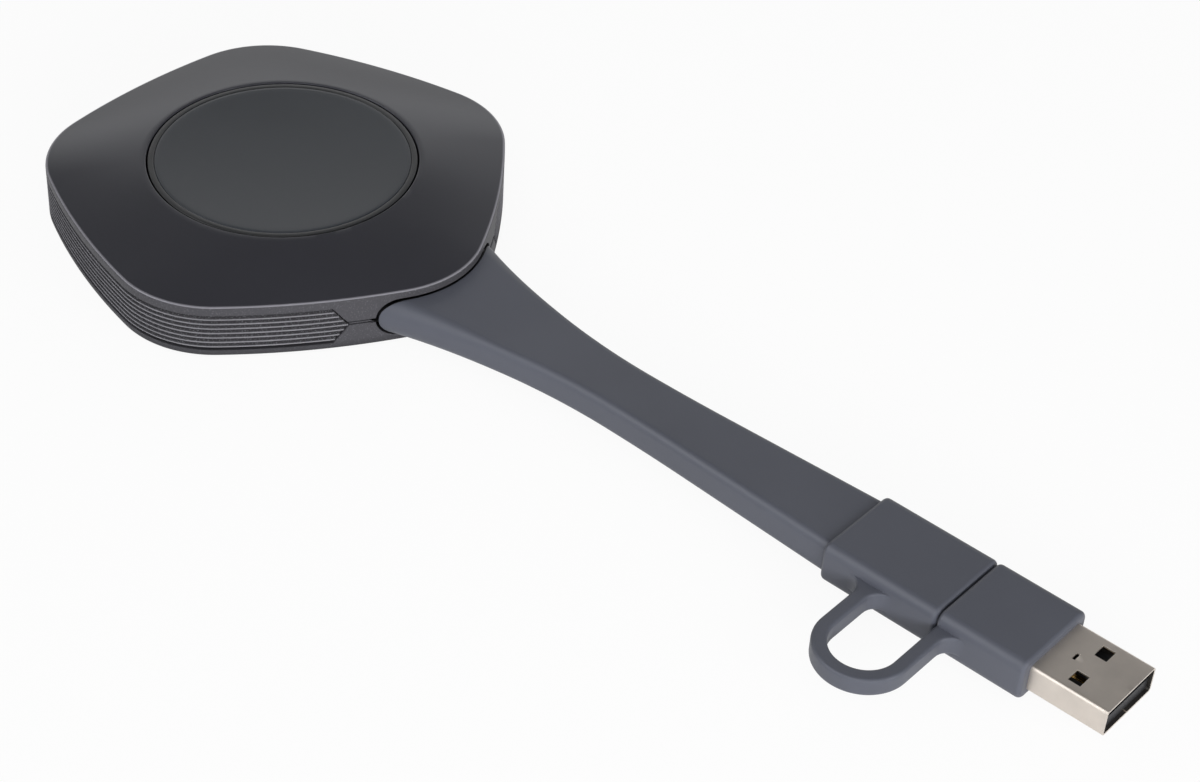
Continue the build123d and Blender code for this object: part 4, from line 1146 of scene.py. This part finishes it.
class Finish:
    """A material being built: its tree, its shader and the place on the piece."""

    def __init__(self, name):
        self.material = bpy.data.materials.new(name)
        self.material.use_nodes = True
        self.tree = self.material.node_tree
        self.shader = self.tree.nodes["Principled BSDF"]
        self.place = self.tree.nodes.new("ShaderNodeTexCoord").outputs["Object"]

    def group(self, group, **values):
        """The outputs of one of the shared effects, placed with its own values."""
        inputs = {key.replace("_", " "): value for key, value in values.items()}
        inputs["Place"] = self.place
        return add_node(self.tree, "ShaderNodeGroup", inputs, node_tree=group).outputs

    def grain(self, per_metre):
        """Height and specks of the moulded grain."""
        return self.group(moulded_grain_group(), Grains_per_metre=per_metre)

    def tone(self, per_metre):
        """The mask of the slow mottle."""
        return self.group(slow_mottle_group(), Patches_per_metre=per_metre)["Tone"]

    def lines(self, per_metre):
        """The mask of the drawn lines."""
        return self.group(drawn_lines_group(), Lines_per_metre=per_metre)["Lines"]

    def mix(self, factor, first, second):
        """A colour between two colours, by a mask."""
        first, second = (c if hasattr(c, "is_output") else (*c, 1.0) for c in (first, second))
        inputs = {0: factor, 6: first, 7: second}
        return add_node(self.tree, "ShaderNodeMix", inputs, data_type="RGBA").outputs[2]

    def shades(self, tone, colour, darkest, lightest):
        """A colour that a mask makes a little darker and lighter."""
        return self.mix(tone, scaled(colour, darkest), scaled(colour, lightest))

    def span(self, value, low, high):
        """A mask from nought to one, spread between two values."""
        return spread(self.tree, value, 0.0, 1.0, low, high)

    def height(self):
        """How high a place on the piece is."""
        return add_node(self.tree, "ShaderNodeSeparateXYZ", {"Vector": self.place}).outputs["Z"]

    def below(self, height, softness):
        """A mask of what lies below a height on the piece."""
        return spread(self.tree, self.height(), height - softness, height + softness, 1.0, 0.0)

    def within(self, middle_x, radius):
        """A mask of what lies within an upright cylinder on the middle line of the tail."""
        shift = {0: self.place, 1: (1.0, 1.0, 0.0), 2: (-middle_x, 0.0, 0.0)}
        away = add_node(self.tree, "ShaderNodeVectorMath", shift, operation="MULTIPLY_ADD")
        away = {0: away.outputs[0]}
        reach = add_node(self.tree, "ShaderNodeVectorMath", away, operation="LENGTH")
        return reckon(self.tree, "LESS_THAN", reach.outputs["Value"], radius)

    def waves(self, start, pitch):
        """A mask of narrow bands: the far half of a cosine that turns once over every pitch."""
        full_turn = 2 * math.pi
        band_edge, band_core = -0.05, -0.95
        turns = spread(self.tree, self.height(), start, start + pitch, 0.0, full_turn, clamp=False)
        wave = reckon(self.tree, "COSINE", turns)
        return spread(self.tree, wave, band_edge, band_core, interpolation_type="SMOOTHSTEP")

    def set(self, **values):
        """Shader inputs, by name with low lines for spaces: plain values or links."""
        for key, value in values.items():
            feed(self.tree, self.shader.inputs[key.replace("_", " ")], value)

    def bump(self, height, depth, strength=1.0):
        """Surface relief of a real depth in metres."""
        relief = {"Height": height, "Distance": depth, "Strength": strength}
        self.set(Normal=add_node(self.tree, "ShaderNodeBump", relief).outputs["Normal"])


def scaled(colour, factor):
    """A colour made lighter or darker."""
    return tuple(min(1.0, channel * factor) for channel in colour)


def satin_cover(puck):
    """Painted plastic: a smooth satin crown over walls with a fine, sparkling sand texture."""
    edge_softness = 0.03 * MM
    speck_lightness = 2.6
    # How much lighter the painted highlight along the rim is than the wall's colour
    rim_highlight_gain = 4.2
    # Share of the wall's colour left in the painted shade along the foot
    painted_foot_shade = 0.6
    finish = Finish("Satin charcoal cover")
    grain = finish.grain(4200.0)
    tone = finish.tone(45.0)
    wall = finish.below(puck.rim_height - 0.4 * puck.rim_round, edge_softness)
    # Painted highlight: a thin band at the rim's edge is coloured far lighter than the wall
    rim = finish.below(puck.rim_height + 0.02 * MM, edge_softness)
    # The crown is darker than the walls partly for its finish and partly as painted shade on the
    # upward faces
    crown = finish.shades(tone, puck.colour, 0.94, 1.06)
    plain = finish.shades(tone, puck.wall_colour, 0.94, 1.06)
    specks = finish.span(grain["Specks"], 0.0, 0.5)
    sandy = finish.mix(specks, plain, scaled(puck.wall_colour, speck_lightness))
    painted_rim_highlight = finish.mix(rim, crown, scaled(puck.wall_colour, rim_highlight_gain))
    upper = finish.mix(wall, painted_rim_highlight, sandy)
    # Painted shade: the lower edge of the foot is darkened where the floor shades it
    foot = finish.below(SHELL_LOW[2] + 1.4 * puck.foot_round, puck.foot_round)
    finish.set(Base_Color=finish.mix(foot, upper, scaled(puck.wall_colour, painted_foot_shade)))
    finish.set(Roughness=finish.span(wall, 0.30, 0.46))
    finish.set(Specular_Tint=(0.90, 0.93, 1.0, 1.0))
    finish.set(Specular_IOR_Level=finish.span(wall, 0.5, 0.25))
    finish.bump(grain["Height"], 0.018 * MM, wall)
    return finish.material


def band_rubber(band):
    """Firm rubber of the grip band: pale along its ribs' crests, matt between them, with painted
    shade in the grooves.
    """
    low, high = BAND_LOW[2] + band.gap, BAND_HIGH[2] - band.gap
    pitch = (high - low) / band.rib_count
    crest_drop = 0.05 * pitch
    # Share of the band's colour left in the painted shade of the grooves
    groove_shade_factor = 0.18
    speck_lightness = 1.8
    finish = Finish("Grip band rubber")
    grain = finish.grain(6500.0)
    tone = finish.tone(90.0)
    base = finish.shades(tone, band.colour, 0.85, 1.12)
    crest = finish.waves(low - crest_drop, pitch)
    # Painted shade: the grooves between the crests take a far darker colour
    painted_groove_shade = finish.mix(crest, scaled(band.colour, groove_shade_factor), base)
    specks = finish.span(grain["Specks"], 0.0, 0.35)
    finish.set(Base_Color=finish.mix(specks, painted_groove_shade, scaled(band.colour, speck_lightness)))
    finish.set(Roughness=finish.span(tone, 0.46, 0.54))
    finish.set(Specular_IOR_Level=finish.span(crest, 0.0, 0.22))
    finish.bump(grain["Height"], 0.012 * MM, 0.7)
    return finish.material


def plain_part(name, colour, shades, roughness, patches, grains=0.0, depth=0.0, strength=0.5):
    """Plastic, rubber, paint or ceramic of one colour: uneven in shade and gloss, and grained.

    Shades and roughness are each a least and a greatest value. Patches and grains are counts per
    metre, and without grains the surface is smooth.
    """
    finish = Finish(name)
    tone = finish.tone(patches)
    base = finish.shades(tone, colour, *shades)
    finish.set(Base_Color=base, Roughness=finish.span(tone, *roughness))
    if grains:
        finish.bump(finish.grain(grains)["Height"], depth, strength)
    return finish.material


def pad_rubber(colour):
    """Dull, slightly dusty rubber of the pad underneath."""
    return plain_part(
        "Pad rubber", colour, (0.8, 1.5), (0.7, 0.85), 120.0, 3000.0, 0.03 * MM, 0.7
    )


def button_face_plastic(colour):
    """Soft-feel paint of the button's face."""
    return plain_part(
        "Button face", colour, (0.95, 1.06), (0.30, 0.36), 40.0, 9000.0, 0.006 * MM, 0.4
    )


def smoked_ring(colour):
    """Smoked plastic of the ring that lets the lamps shine through."""
    return plain_part("Smoked ring", colour, (0.9, 1.1), (0.28, 0.34), 200.0)


def soft_silicone(tail):
    """Matt silicone of the tail: a fine skin, a soft sheen at its edges, and painted shade on the
    root inside the puck's wall.
    """
    shade_margin = 0.1 * MM
    # Share of the silicone's colour left in the painted shade of the root
    painted_root_shade = 0.04
    finish = Finish("Blue-grey silicone")
    grain = finish.grain(7000.0)
    tone = finish.tone(55.0)
    base = finish.shades(tone, tail.colour, 0.95, 1.06)
    # Painted shade: where the strap sits inside the wall's opening it is coloured nearly black
    root = finish.within(tail.shade_x, COVER_HIGH[0] - tail.shade_x + shade_margin)
    finish.set(Base_Color=finish.mix(root, base, scaled(tail.colour, painted_root_shade)))
    finish.set(Roughness=finish.span(tone, 0.42, 0.50))
    finish.set(Sheen_Weight=0.05, Sheen_Roughness=0.45)
    finish.bump(grain["Height"], 0.010 * MM, 0.5)
    return finish.material


def plated_nickel(colour):
    """Bright, faintly brushed plating of the plug shells."""
    finish = Finish("Warm nickel plating")
    lines = finish.lines(7000.0)
    base = finish.shades(finish.tone(260.0), colour, 0.94, 1.04)
    finish.set(Base_Color=base, Metallic=1.0, Roughness=finish.span(lines, 0.44, 0.52))
    finish.bump(lines, 0.001 * MM, 0.3)
    return finish.material


def turned_metal(name, colour, roughness):
    """Screws, springs, cans and plates: bright metal with fine lines and slow tarnish."""
    finish = Finish(name)
    lines = finish.lines(5000.0)
    base = finish.shades(finish.tone(300.0), colour, 0.82, 1.0)
    rough = finish.span(lines, roughness - 0.08, roughness + 0.12)
    finish.set(Base_Color=base, Metallic=1.0, Roughness=rough)
    finish.bump(lines, 0.006 * MM, 0.5)
    return finish.material


def moulded_part(name, colour, roughness, grains):
    """Plain moulded inner parts: plastic, ceramic or rubber with its own grain."""
    rough = (roughness - 0.04, roughness + 0.06)
    return plain_part(name, colour, (0.88, 1.08), rough, 220.0, grains, 0.012 * MM)


def lacquered_board(name):
    """Green lacquered circuit board with tracks and tinned pads."""
    finish = Finish(name)
    etched = finish.group(board_tracks_group(), Tracks_per_metre=650.0)
    lacquer = finish.mix(finish.tone(180.0), (0.006, 0.055, 0.030), (0.009, 0.075, 0.040))
    tracked = finish.mix(etched["Tracks"], lacquer, (0.020, 0.150, 0.075))
    padded = finish.mix(etched["Pads"], tracked, (0.62, 0.60, 0.55))
    finish.set(Base_Color=padded, Metallic=finish.span(etched["Pads"], 0.0, 0.9))
    finish.set(Roughness=finish.span(etched["Pads"], 0.30, 0.42))
    finish.bump(etched["Tracks"], 0.02 * MM, 0.5)
    return finish.material


def lamp_plastic(name):
    """Milky resin of the status lamps."""
    finish = Finish(name)
    tone = finish.tone(900.0)
    base = finish.mix(tone, (0.72, 0.72, 0.66), (0.82, 0.81, 0.74))
    finish.set(Base_Color=base, Roughness=finish.span(tone, 0.22, 0.34))
    return finish.material


STEEL = (0.60, 0.60, 0.58)

INNER_PARTS = {
    "Zinc plated steel": (
        turned_metal,
        (STEEL, 0.30),
        [
            "case_screws",
            "board_screws",
            "clamp_screws",
            "tail_clamp",
            "radio_shield",
            "c_socket_shell",
        ],
    ),
    "Black moulding": (
        moulded_part,
        ((0.020, 0.020, 0.021), 0.42, 5000.0),
        [
            "button_cap",
            "switch_body",
            "sleeve_core",
            "adapter_core",
            "c_plug_insulator",
            "c_socket_tongue",
        ],
    ),
    "White moulding": (
        moulded_part,
        ((0.68, 0.66, 0.60), 0.40, 5000.0),
        ["switch_plunger", "tail_connector"],
    ),
    "Dark contact carrier": (
        moulded_part,
        ((0.022, 0.022, 0.024), 0.45, 5000.0),
        ["a_plug_insulator"],
    ),
    "Gold contacts": (
        turned_metal,
        ((0.90, 0.62, 0.24), 0.22),
        ["a_plug_contacts", "c_plug_contacts", "c_socket_contacts"],
    ),
    "Lacquered circuit board": (
        lacquered_board,
        (),
        ["main_board", "radio_board", "c_plug_board", "adapter_board"],
    ),
    "Chip resin": (
        moulded_part,
        ((0.016, 0.016, 0.017), 0.55, 9000.0),
        ["radio_chip", "memory_chip", "processor_chip"],
    ),
    "Ferrite": (moulded_part, ((0.055, 0.055, 0.058), 0.50, 4000.0), ["power_coils"]),
    "Brown ceramic": (moulded_part, ((0.30, 0.19, 0.10), 0.40, 4000.0), ["capacitors"]),
    "Antenna ceramic": (moulded_part, ((0.60, 0.58, 0.50), 0.50, 3000.0), ["antennas"]),
    "Milky lamp resin": (lamp_plastic, (), ["status_leds"]),
    "Aluminium sheet": (turned_metal, ((0.78, 0.79, 0.80), 0.34), ["heat_plate"]),
    "Thermal silicone": (moulded_part, ((0.32, 0.36, 0.42), 0.70, 2500.0), ["thermal_pad"]),
    "Lead sheath": (moulded_part, ((0.025, 0.025, 0.027), 0.50, 6000.0), ["antenna_leads"]),
}


class DONGLE_OT_make_puck(bpy.types.Operator):
    """Make the two covers and the pad underneath"""

    bl_idname = "dongle.make_puck"
    bl_label = "Make covers and pad"

    def execute(self, context):
        puck = context.scene.dongle_puck
        band = context.scene.dongle_band
        cover = satin_cover(puck)
        make_cover(puck, band, cover)
        make_shell(puck, band, cover)
        make_pad(puck, band, pad_rubber(puck.pad_colour))
        return {"FINISHED"}


class DONGLE_OT_make_band(bpy.types.Operator):
    """Make the ribbed band round the puck"""

    bl_idname = "dongle.make_band"
    bl_label = "Make grip band"

    def execute(self, context):
        band = context.scene.dongle_band
        make_band(context.scene.dongle_puck, band, band_rubber(band))
        return {"FINISHED"}


class DONGLE_OT_make_button(bpy.types.Operator):
    """Make the button's face, the ring round it and its springs"""

    bl_idname = "dongle.make_button"
    bl_label = "Make button"

    def execute(self, context):
        button = context.scene.dongle_button
        make_button_face(button, button_face_plastic(button.face_colour))
        make_button_ring(button, smoked_ring(button.ring_colour))
        make_springs(turned_metal("Spring steel", STEEL, 0.30))
        return {"FINISHED"}


class DONGLE_OT_make_tail(bpy.types.Operator):
    """Make the soft strap with its lead, the two end blocks and the tether"""

    bl_idname = "dongle.make_tail"
    bl_label = "Make soft tail"

    def execute(self, context):
        tail = context.scene.dongle_tail
        silicone = soft_silicone(tail)
        strap = make_strap(context.scene.dongle_puck, tail, silicone)
        lead = make_lead(moulded_part("Flat lead film", (0.20, 0.10, 0.03), 0.35, 5000.0))
        for piece in (strap, lead):
            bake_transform(piece)
        make_sleeve(tail, silicone)
        make_jacket(tail, context.scene.dongle_plug, silicone)
        tether = make_tether(tail, silicone)
        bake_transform(tether)
        return {"FINISHED"}


class DONGLE_OT_make_plugs(bpy.types.Operator):
    """Make the metal shells of the wide and the narrow plug"""

    bl_idname = "dongle.make_plugs"
    bl_label = "Make plug shells"

    def execute(self, context):
        plug = context.scene.dongle_plug
        nickel = plated_nickel(plug.colour)
        # Painted shade: the shell's inner faces get a darker copy of the metal for the shade inside
        # the plug
        inside = turned_metal("Painted shade inside the shell", (0.16, 0.15, 0.14), 0.55)
        make_a_plug(plug, nickel, inside)
        make_c_plug(plug, nickel)
        return {"FINISHED"}


class DONGLE_OT_finish_inner_parts(bpy.types.Operator):
    """Give every piece that keeps its CAD shape its own finish"""

    bl_idname = "dongle.finish_inner_parts"
    bl_label = "Finish inner parts"

    def execute(self, context):
        for name, (make_material, values, nodes) in INNER_PARTS.items():
            material = make_material(name, *values)
            for node in nodes:
                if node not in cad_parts:
                    raise RuntimeError(f"the frame has no node named {node}")
                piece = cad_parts[node]
                piece.data.materials.clear()
                piece.data.materials.append(material)
        return {"FINISHED"}


def add_lamp(name, place, target, size, power):
    """A soft rectangular lamp that points at a place."""
    lamp = bpy.data.lights.new(name, "AREA")
    lamp.shape = "RECTANGLE"
    lamp.size, lamp.size_y = size
    lamp.energy = power
    holder = bpy.data.objects.new(name, lamp)
    holder.location = place
    aim = Vector(target) - Vector(place)
    holder.rotation_mode = "QUATERNION"
    holder.rotation_quaternion = aim.to_track_quat("-Z", "Y")
    bpy.context.scene.collection.objects.link(holder)
    return holder


def seen_directly(tree):
    """One for camera, gloss and transmission rays, and nought for the light that falls on things.

    With it comes the mask of camera rays alone.
    """
    rays = tree.nodes.new("ShaderNodeLightPath").outputs
    either = reckon(tree, "MAXIMUM", rays["Is Glossy Ray"], rays["Is Transmission Ray"])
    return reckon(tree, "MAXIMUM", rays["Is Camera Ray"], either), rays["Is Camera Ray"]


def make_world(studio):
    """White surroundings that look white, with a darker ceiling in gloss, and an even fill light.

    Gloss also shows a soft panel, up on the near left.
    """
    wall_height, ceiling_height = 0.15, 0.88
    panel_direction = (-0.483, -0.633, 0.602)
    panel_edge, panel_core = 0.87, 0.96
    world = bpy.data.worlds.new("White studio")
    bpy.context.scene.world = world
    world.use_nodes = True
    tree = world.node_tree
    tree.nodes.clear()
    seen, by_camera = seen_directly(tree)
    direction = tree.nodes.new("ShaderNodeTexCoord").outputs["Generated"]
    height = add_node(tree, "ShaderNodeSeparateXYZ", {"Vector": direction}).outputs["Z"]
    soft = {"interpolation_type": "SMOOTHSTEP"}
    looks = studio.horizon, studio.zenith
    ceiling = spread(tree, height, wall_height, ceiling_height, *looks, **soft)
    towards = {0: direction, 1: panel_direction}
    towards = add_node(tree, "ShaderNodeVectorMath", towards, operation="DOT_PRODUCT")
    nearness = towards.outputs["Value"]
    panel = spread(tree, nearness, panel_edge, panel_core, 0.0, studio.panel, **soft)
    gloss = reckon(tree, "ADD", ceiling, panel)
    shown = add_node(tree, "ShaderNodeMix", {0: by_camera, 2: gloss, 3: 1.0}).outputs[0]
    strength = add_node(tree, "ShaderNodeMix", {0: seen, 2: studio.world_fill, 3: shown}).outputs[0]
    light = add_node(tree, "ShaderNodeBackground", {"Color": (1, 1, 1, 1), "Strength": strength})
    add_node(tree, "ShaderNodeOutputWorld", {0: light.outputs[0]})


def make_floor(studio):
    """A wide pale floor that looks nearly white and keeps the object's shadow."""
    mesh = bpy.data.meshes.new("floor")
    reach = 4.0
    corners = [(-reach, -reach, 0), (reach, -reach, 0), (reach, reach, 0), (-reach, reach, 0)]
    mesh.from_pydata(corners, [], [(0, 1, 2, 3)])
    material = bpy.data.materials.new("Pale floor")
    material.use_nodes = True
    tree = material.node_tree
    tree.nodes.clear()
    matt = add_node(tree, "ShaderNodeBsdfDiffuse", {"Color": (*studio.floor_colour, 1.0)})
    white = add_node(tree, "ShaderNodeEmission", {"Color": (1, 1, 1, 1), "Strength": 1.0})
    seen, by_camera = seen_directly(tree)
    whiteness = spread(tree, by_camera, 0.0, 1.0, studio.floor_gloss, studio.floor_white)
    share = reckon(tree, "MULTIPLY", seen, whiteness)
    mixed = {0: share, 1: matt.outputs[0], 2: white.outputs[0]}
    mixed = add_node(tree, "ShaderNodeMixShader", mixed)
    add_node(tree, "ShaderNodeOutputMaterial", {0: mixed.outputs[0]})
    mesh.materials.append(material)
    floor = bpy.data.objects.new("floor", mesh)
    bpy.context.scene.collection.objects.link(floor)


def make_camera(studio):
    """The camera at the viewing angle of a product shot: from the near side, above the plug."""
    camera = bpy.data.cameras.new("camera")
    camera.lens = studio.lens
    camera.sensor_width = 36.0
    camera.sensor_fit = "HORIZONTAL"
    camera.clip_start = 0.01
    camera.clip_end = 20.0
    holder = bpy.data.objects.new("camera", camera)
    holder.location = (studio.camera_x, studio.camera_y, studio.camera_z)
    level = math.cos(studio.elevation)
    back_x, back_y = math.sin(studio.azimuth) * level, -math.cos(studio.azimuth) * level
    back = Vector((back_x, back_y, math.sin(studio.elevation)))
    holder.rotation_mode = "QUATERNION"
    upright = (-back).to_track_quat("-Z", "Y")
    holder.rotation_quaternion = upright @ Quaternion((0, 0, 1), studio.roll)
    bpy.context.scene.collection.objects.link(holder)
    bpy.context.scene.camera = holder


class DONGLE_OT_make_studio(bpy.types.Operator):
    """Set up the floor, the surroundings, the lamps and the camera"""

    bl_idname = "dongle.make_studio"
    bl_label = "Make studio"

    def execute(self, context):
        studio = context.scene.dongle_studio
        make_floor(studio)
        make_world(studio)
        make_camera(studio)
        middle = ((CAD_BOX[0] + CAD_BOX[1]) / 2)[:]
        puck = (0.02, 0.0, 0.005)
        strap = (0.08, 0.0, 0.005)
        add_lamp("key_lamp", (0.30, -0.45, 0.55), middle, (0.5, 0.5), studio.key)
        side = add_lamp("side_lamp", (0.54, -0.48, 0.17), puck, (0.6, 0.12), studio.side)
        side.visible_glossy = False
        add_lamp("edge_lamp", (-0.36, -0.50, 0.44), strap, (0.2, 0.07), studio.edge)
        add_lamp("tip_lamp", (0.76, 0.02, 0.24), (0.02, 0.0, 0.01), (0.25, 0.25), studio.tip)
        add_lamp("rear_lamp", (-0.45, 0.48, 0.29), (0.0, 0.0, 0.01), (0.7, 0.2), studio.rear)
        context.scene.view_settings.view_transform = "Standard"
        return {"FINISHED"}


OPERATORS = [
    DONGLE_OT_make_studio,
    DONGLE_OT_make_puck,
    DONGLE_OT_make_band,
    DONGLE_OT_make_button,
    DONGLE_OT_make_tail,
    DONGLE_OT_make_plugs,
    DONGLE_OT_finish_inner_parts,
]

SETTINGS = {
    "dongle_puck": PuckSettings,
    "dongle_band": BandSettings,
    "dongle_button": ButtonSettings,
    "dongle_tail": TailSettings,
    "dongle_plug": PlugSettings,
    "dongle_studio": StudioSettings,
}


class DONGLE_PT_panel(bpy.types.Panel):
    """The dongle's pieces and settings"""

    bl_idname = "DONGLE_PT_panel"
    bl_label = "Presentation dongle"
    bl_space_type = "VIEW_3D"
    bl_region_type = "UI"
    bl_category = "Dongle"

    def draw(self, context):
        layout = self.layout
        for operator in OPERATORS:
            layout.operator(operator.bl_idname)
        for name in SETTINGS:
            box = layout.box()
            settings = getattr(context.scene, name)
            for key in settings.__annotations__:
                box.prop(settings, key)


def register():
    """Adds the settings, the operators and the panel to Blender."""
    for name, settings in SETTINGS.items():
        bpy.utils.register_class(settings)
        setattr(bpy.types.Scene, name, bpy.props.PointerProperty(type=settings))
    for operator in OPERATORS:
        bpy.utils.register_class(operator)
    bpy.utils.register_class(DONGLE_PT_panel)


def unregister():
    """Takes the settings, the operators and the panel out again."""
    bpy.utils.unregister_class(DONGLE_PT_panel)
    for operator in reversed(OPERATORS):
        bpy.utils.unregister_class(operator)
    for name, settings in SETTINGS.items():
        delattr(bpy.types.Scene, name)
        bpy.utils.unregister_class(settings)


def main():
    """Makes every piece and the studio in order."""
    register()
    bpy.ops.dongle.make_studio()
    bpy.ops.dongle.make_puck()
    bpy.ops.dongle.make_band()
    bpy.ops.dongle.make_button()
    bpy.ops.dongle.make_tail()
    bpy.ops.dongle.make_plugs()
    bpy.ops.dongle.finish_inner_parts()


if __name__ == "__main__":
    main()
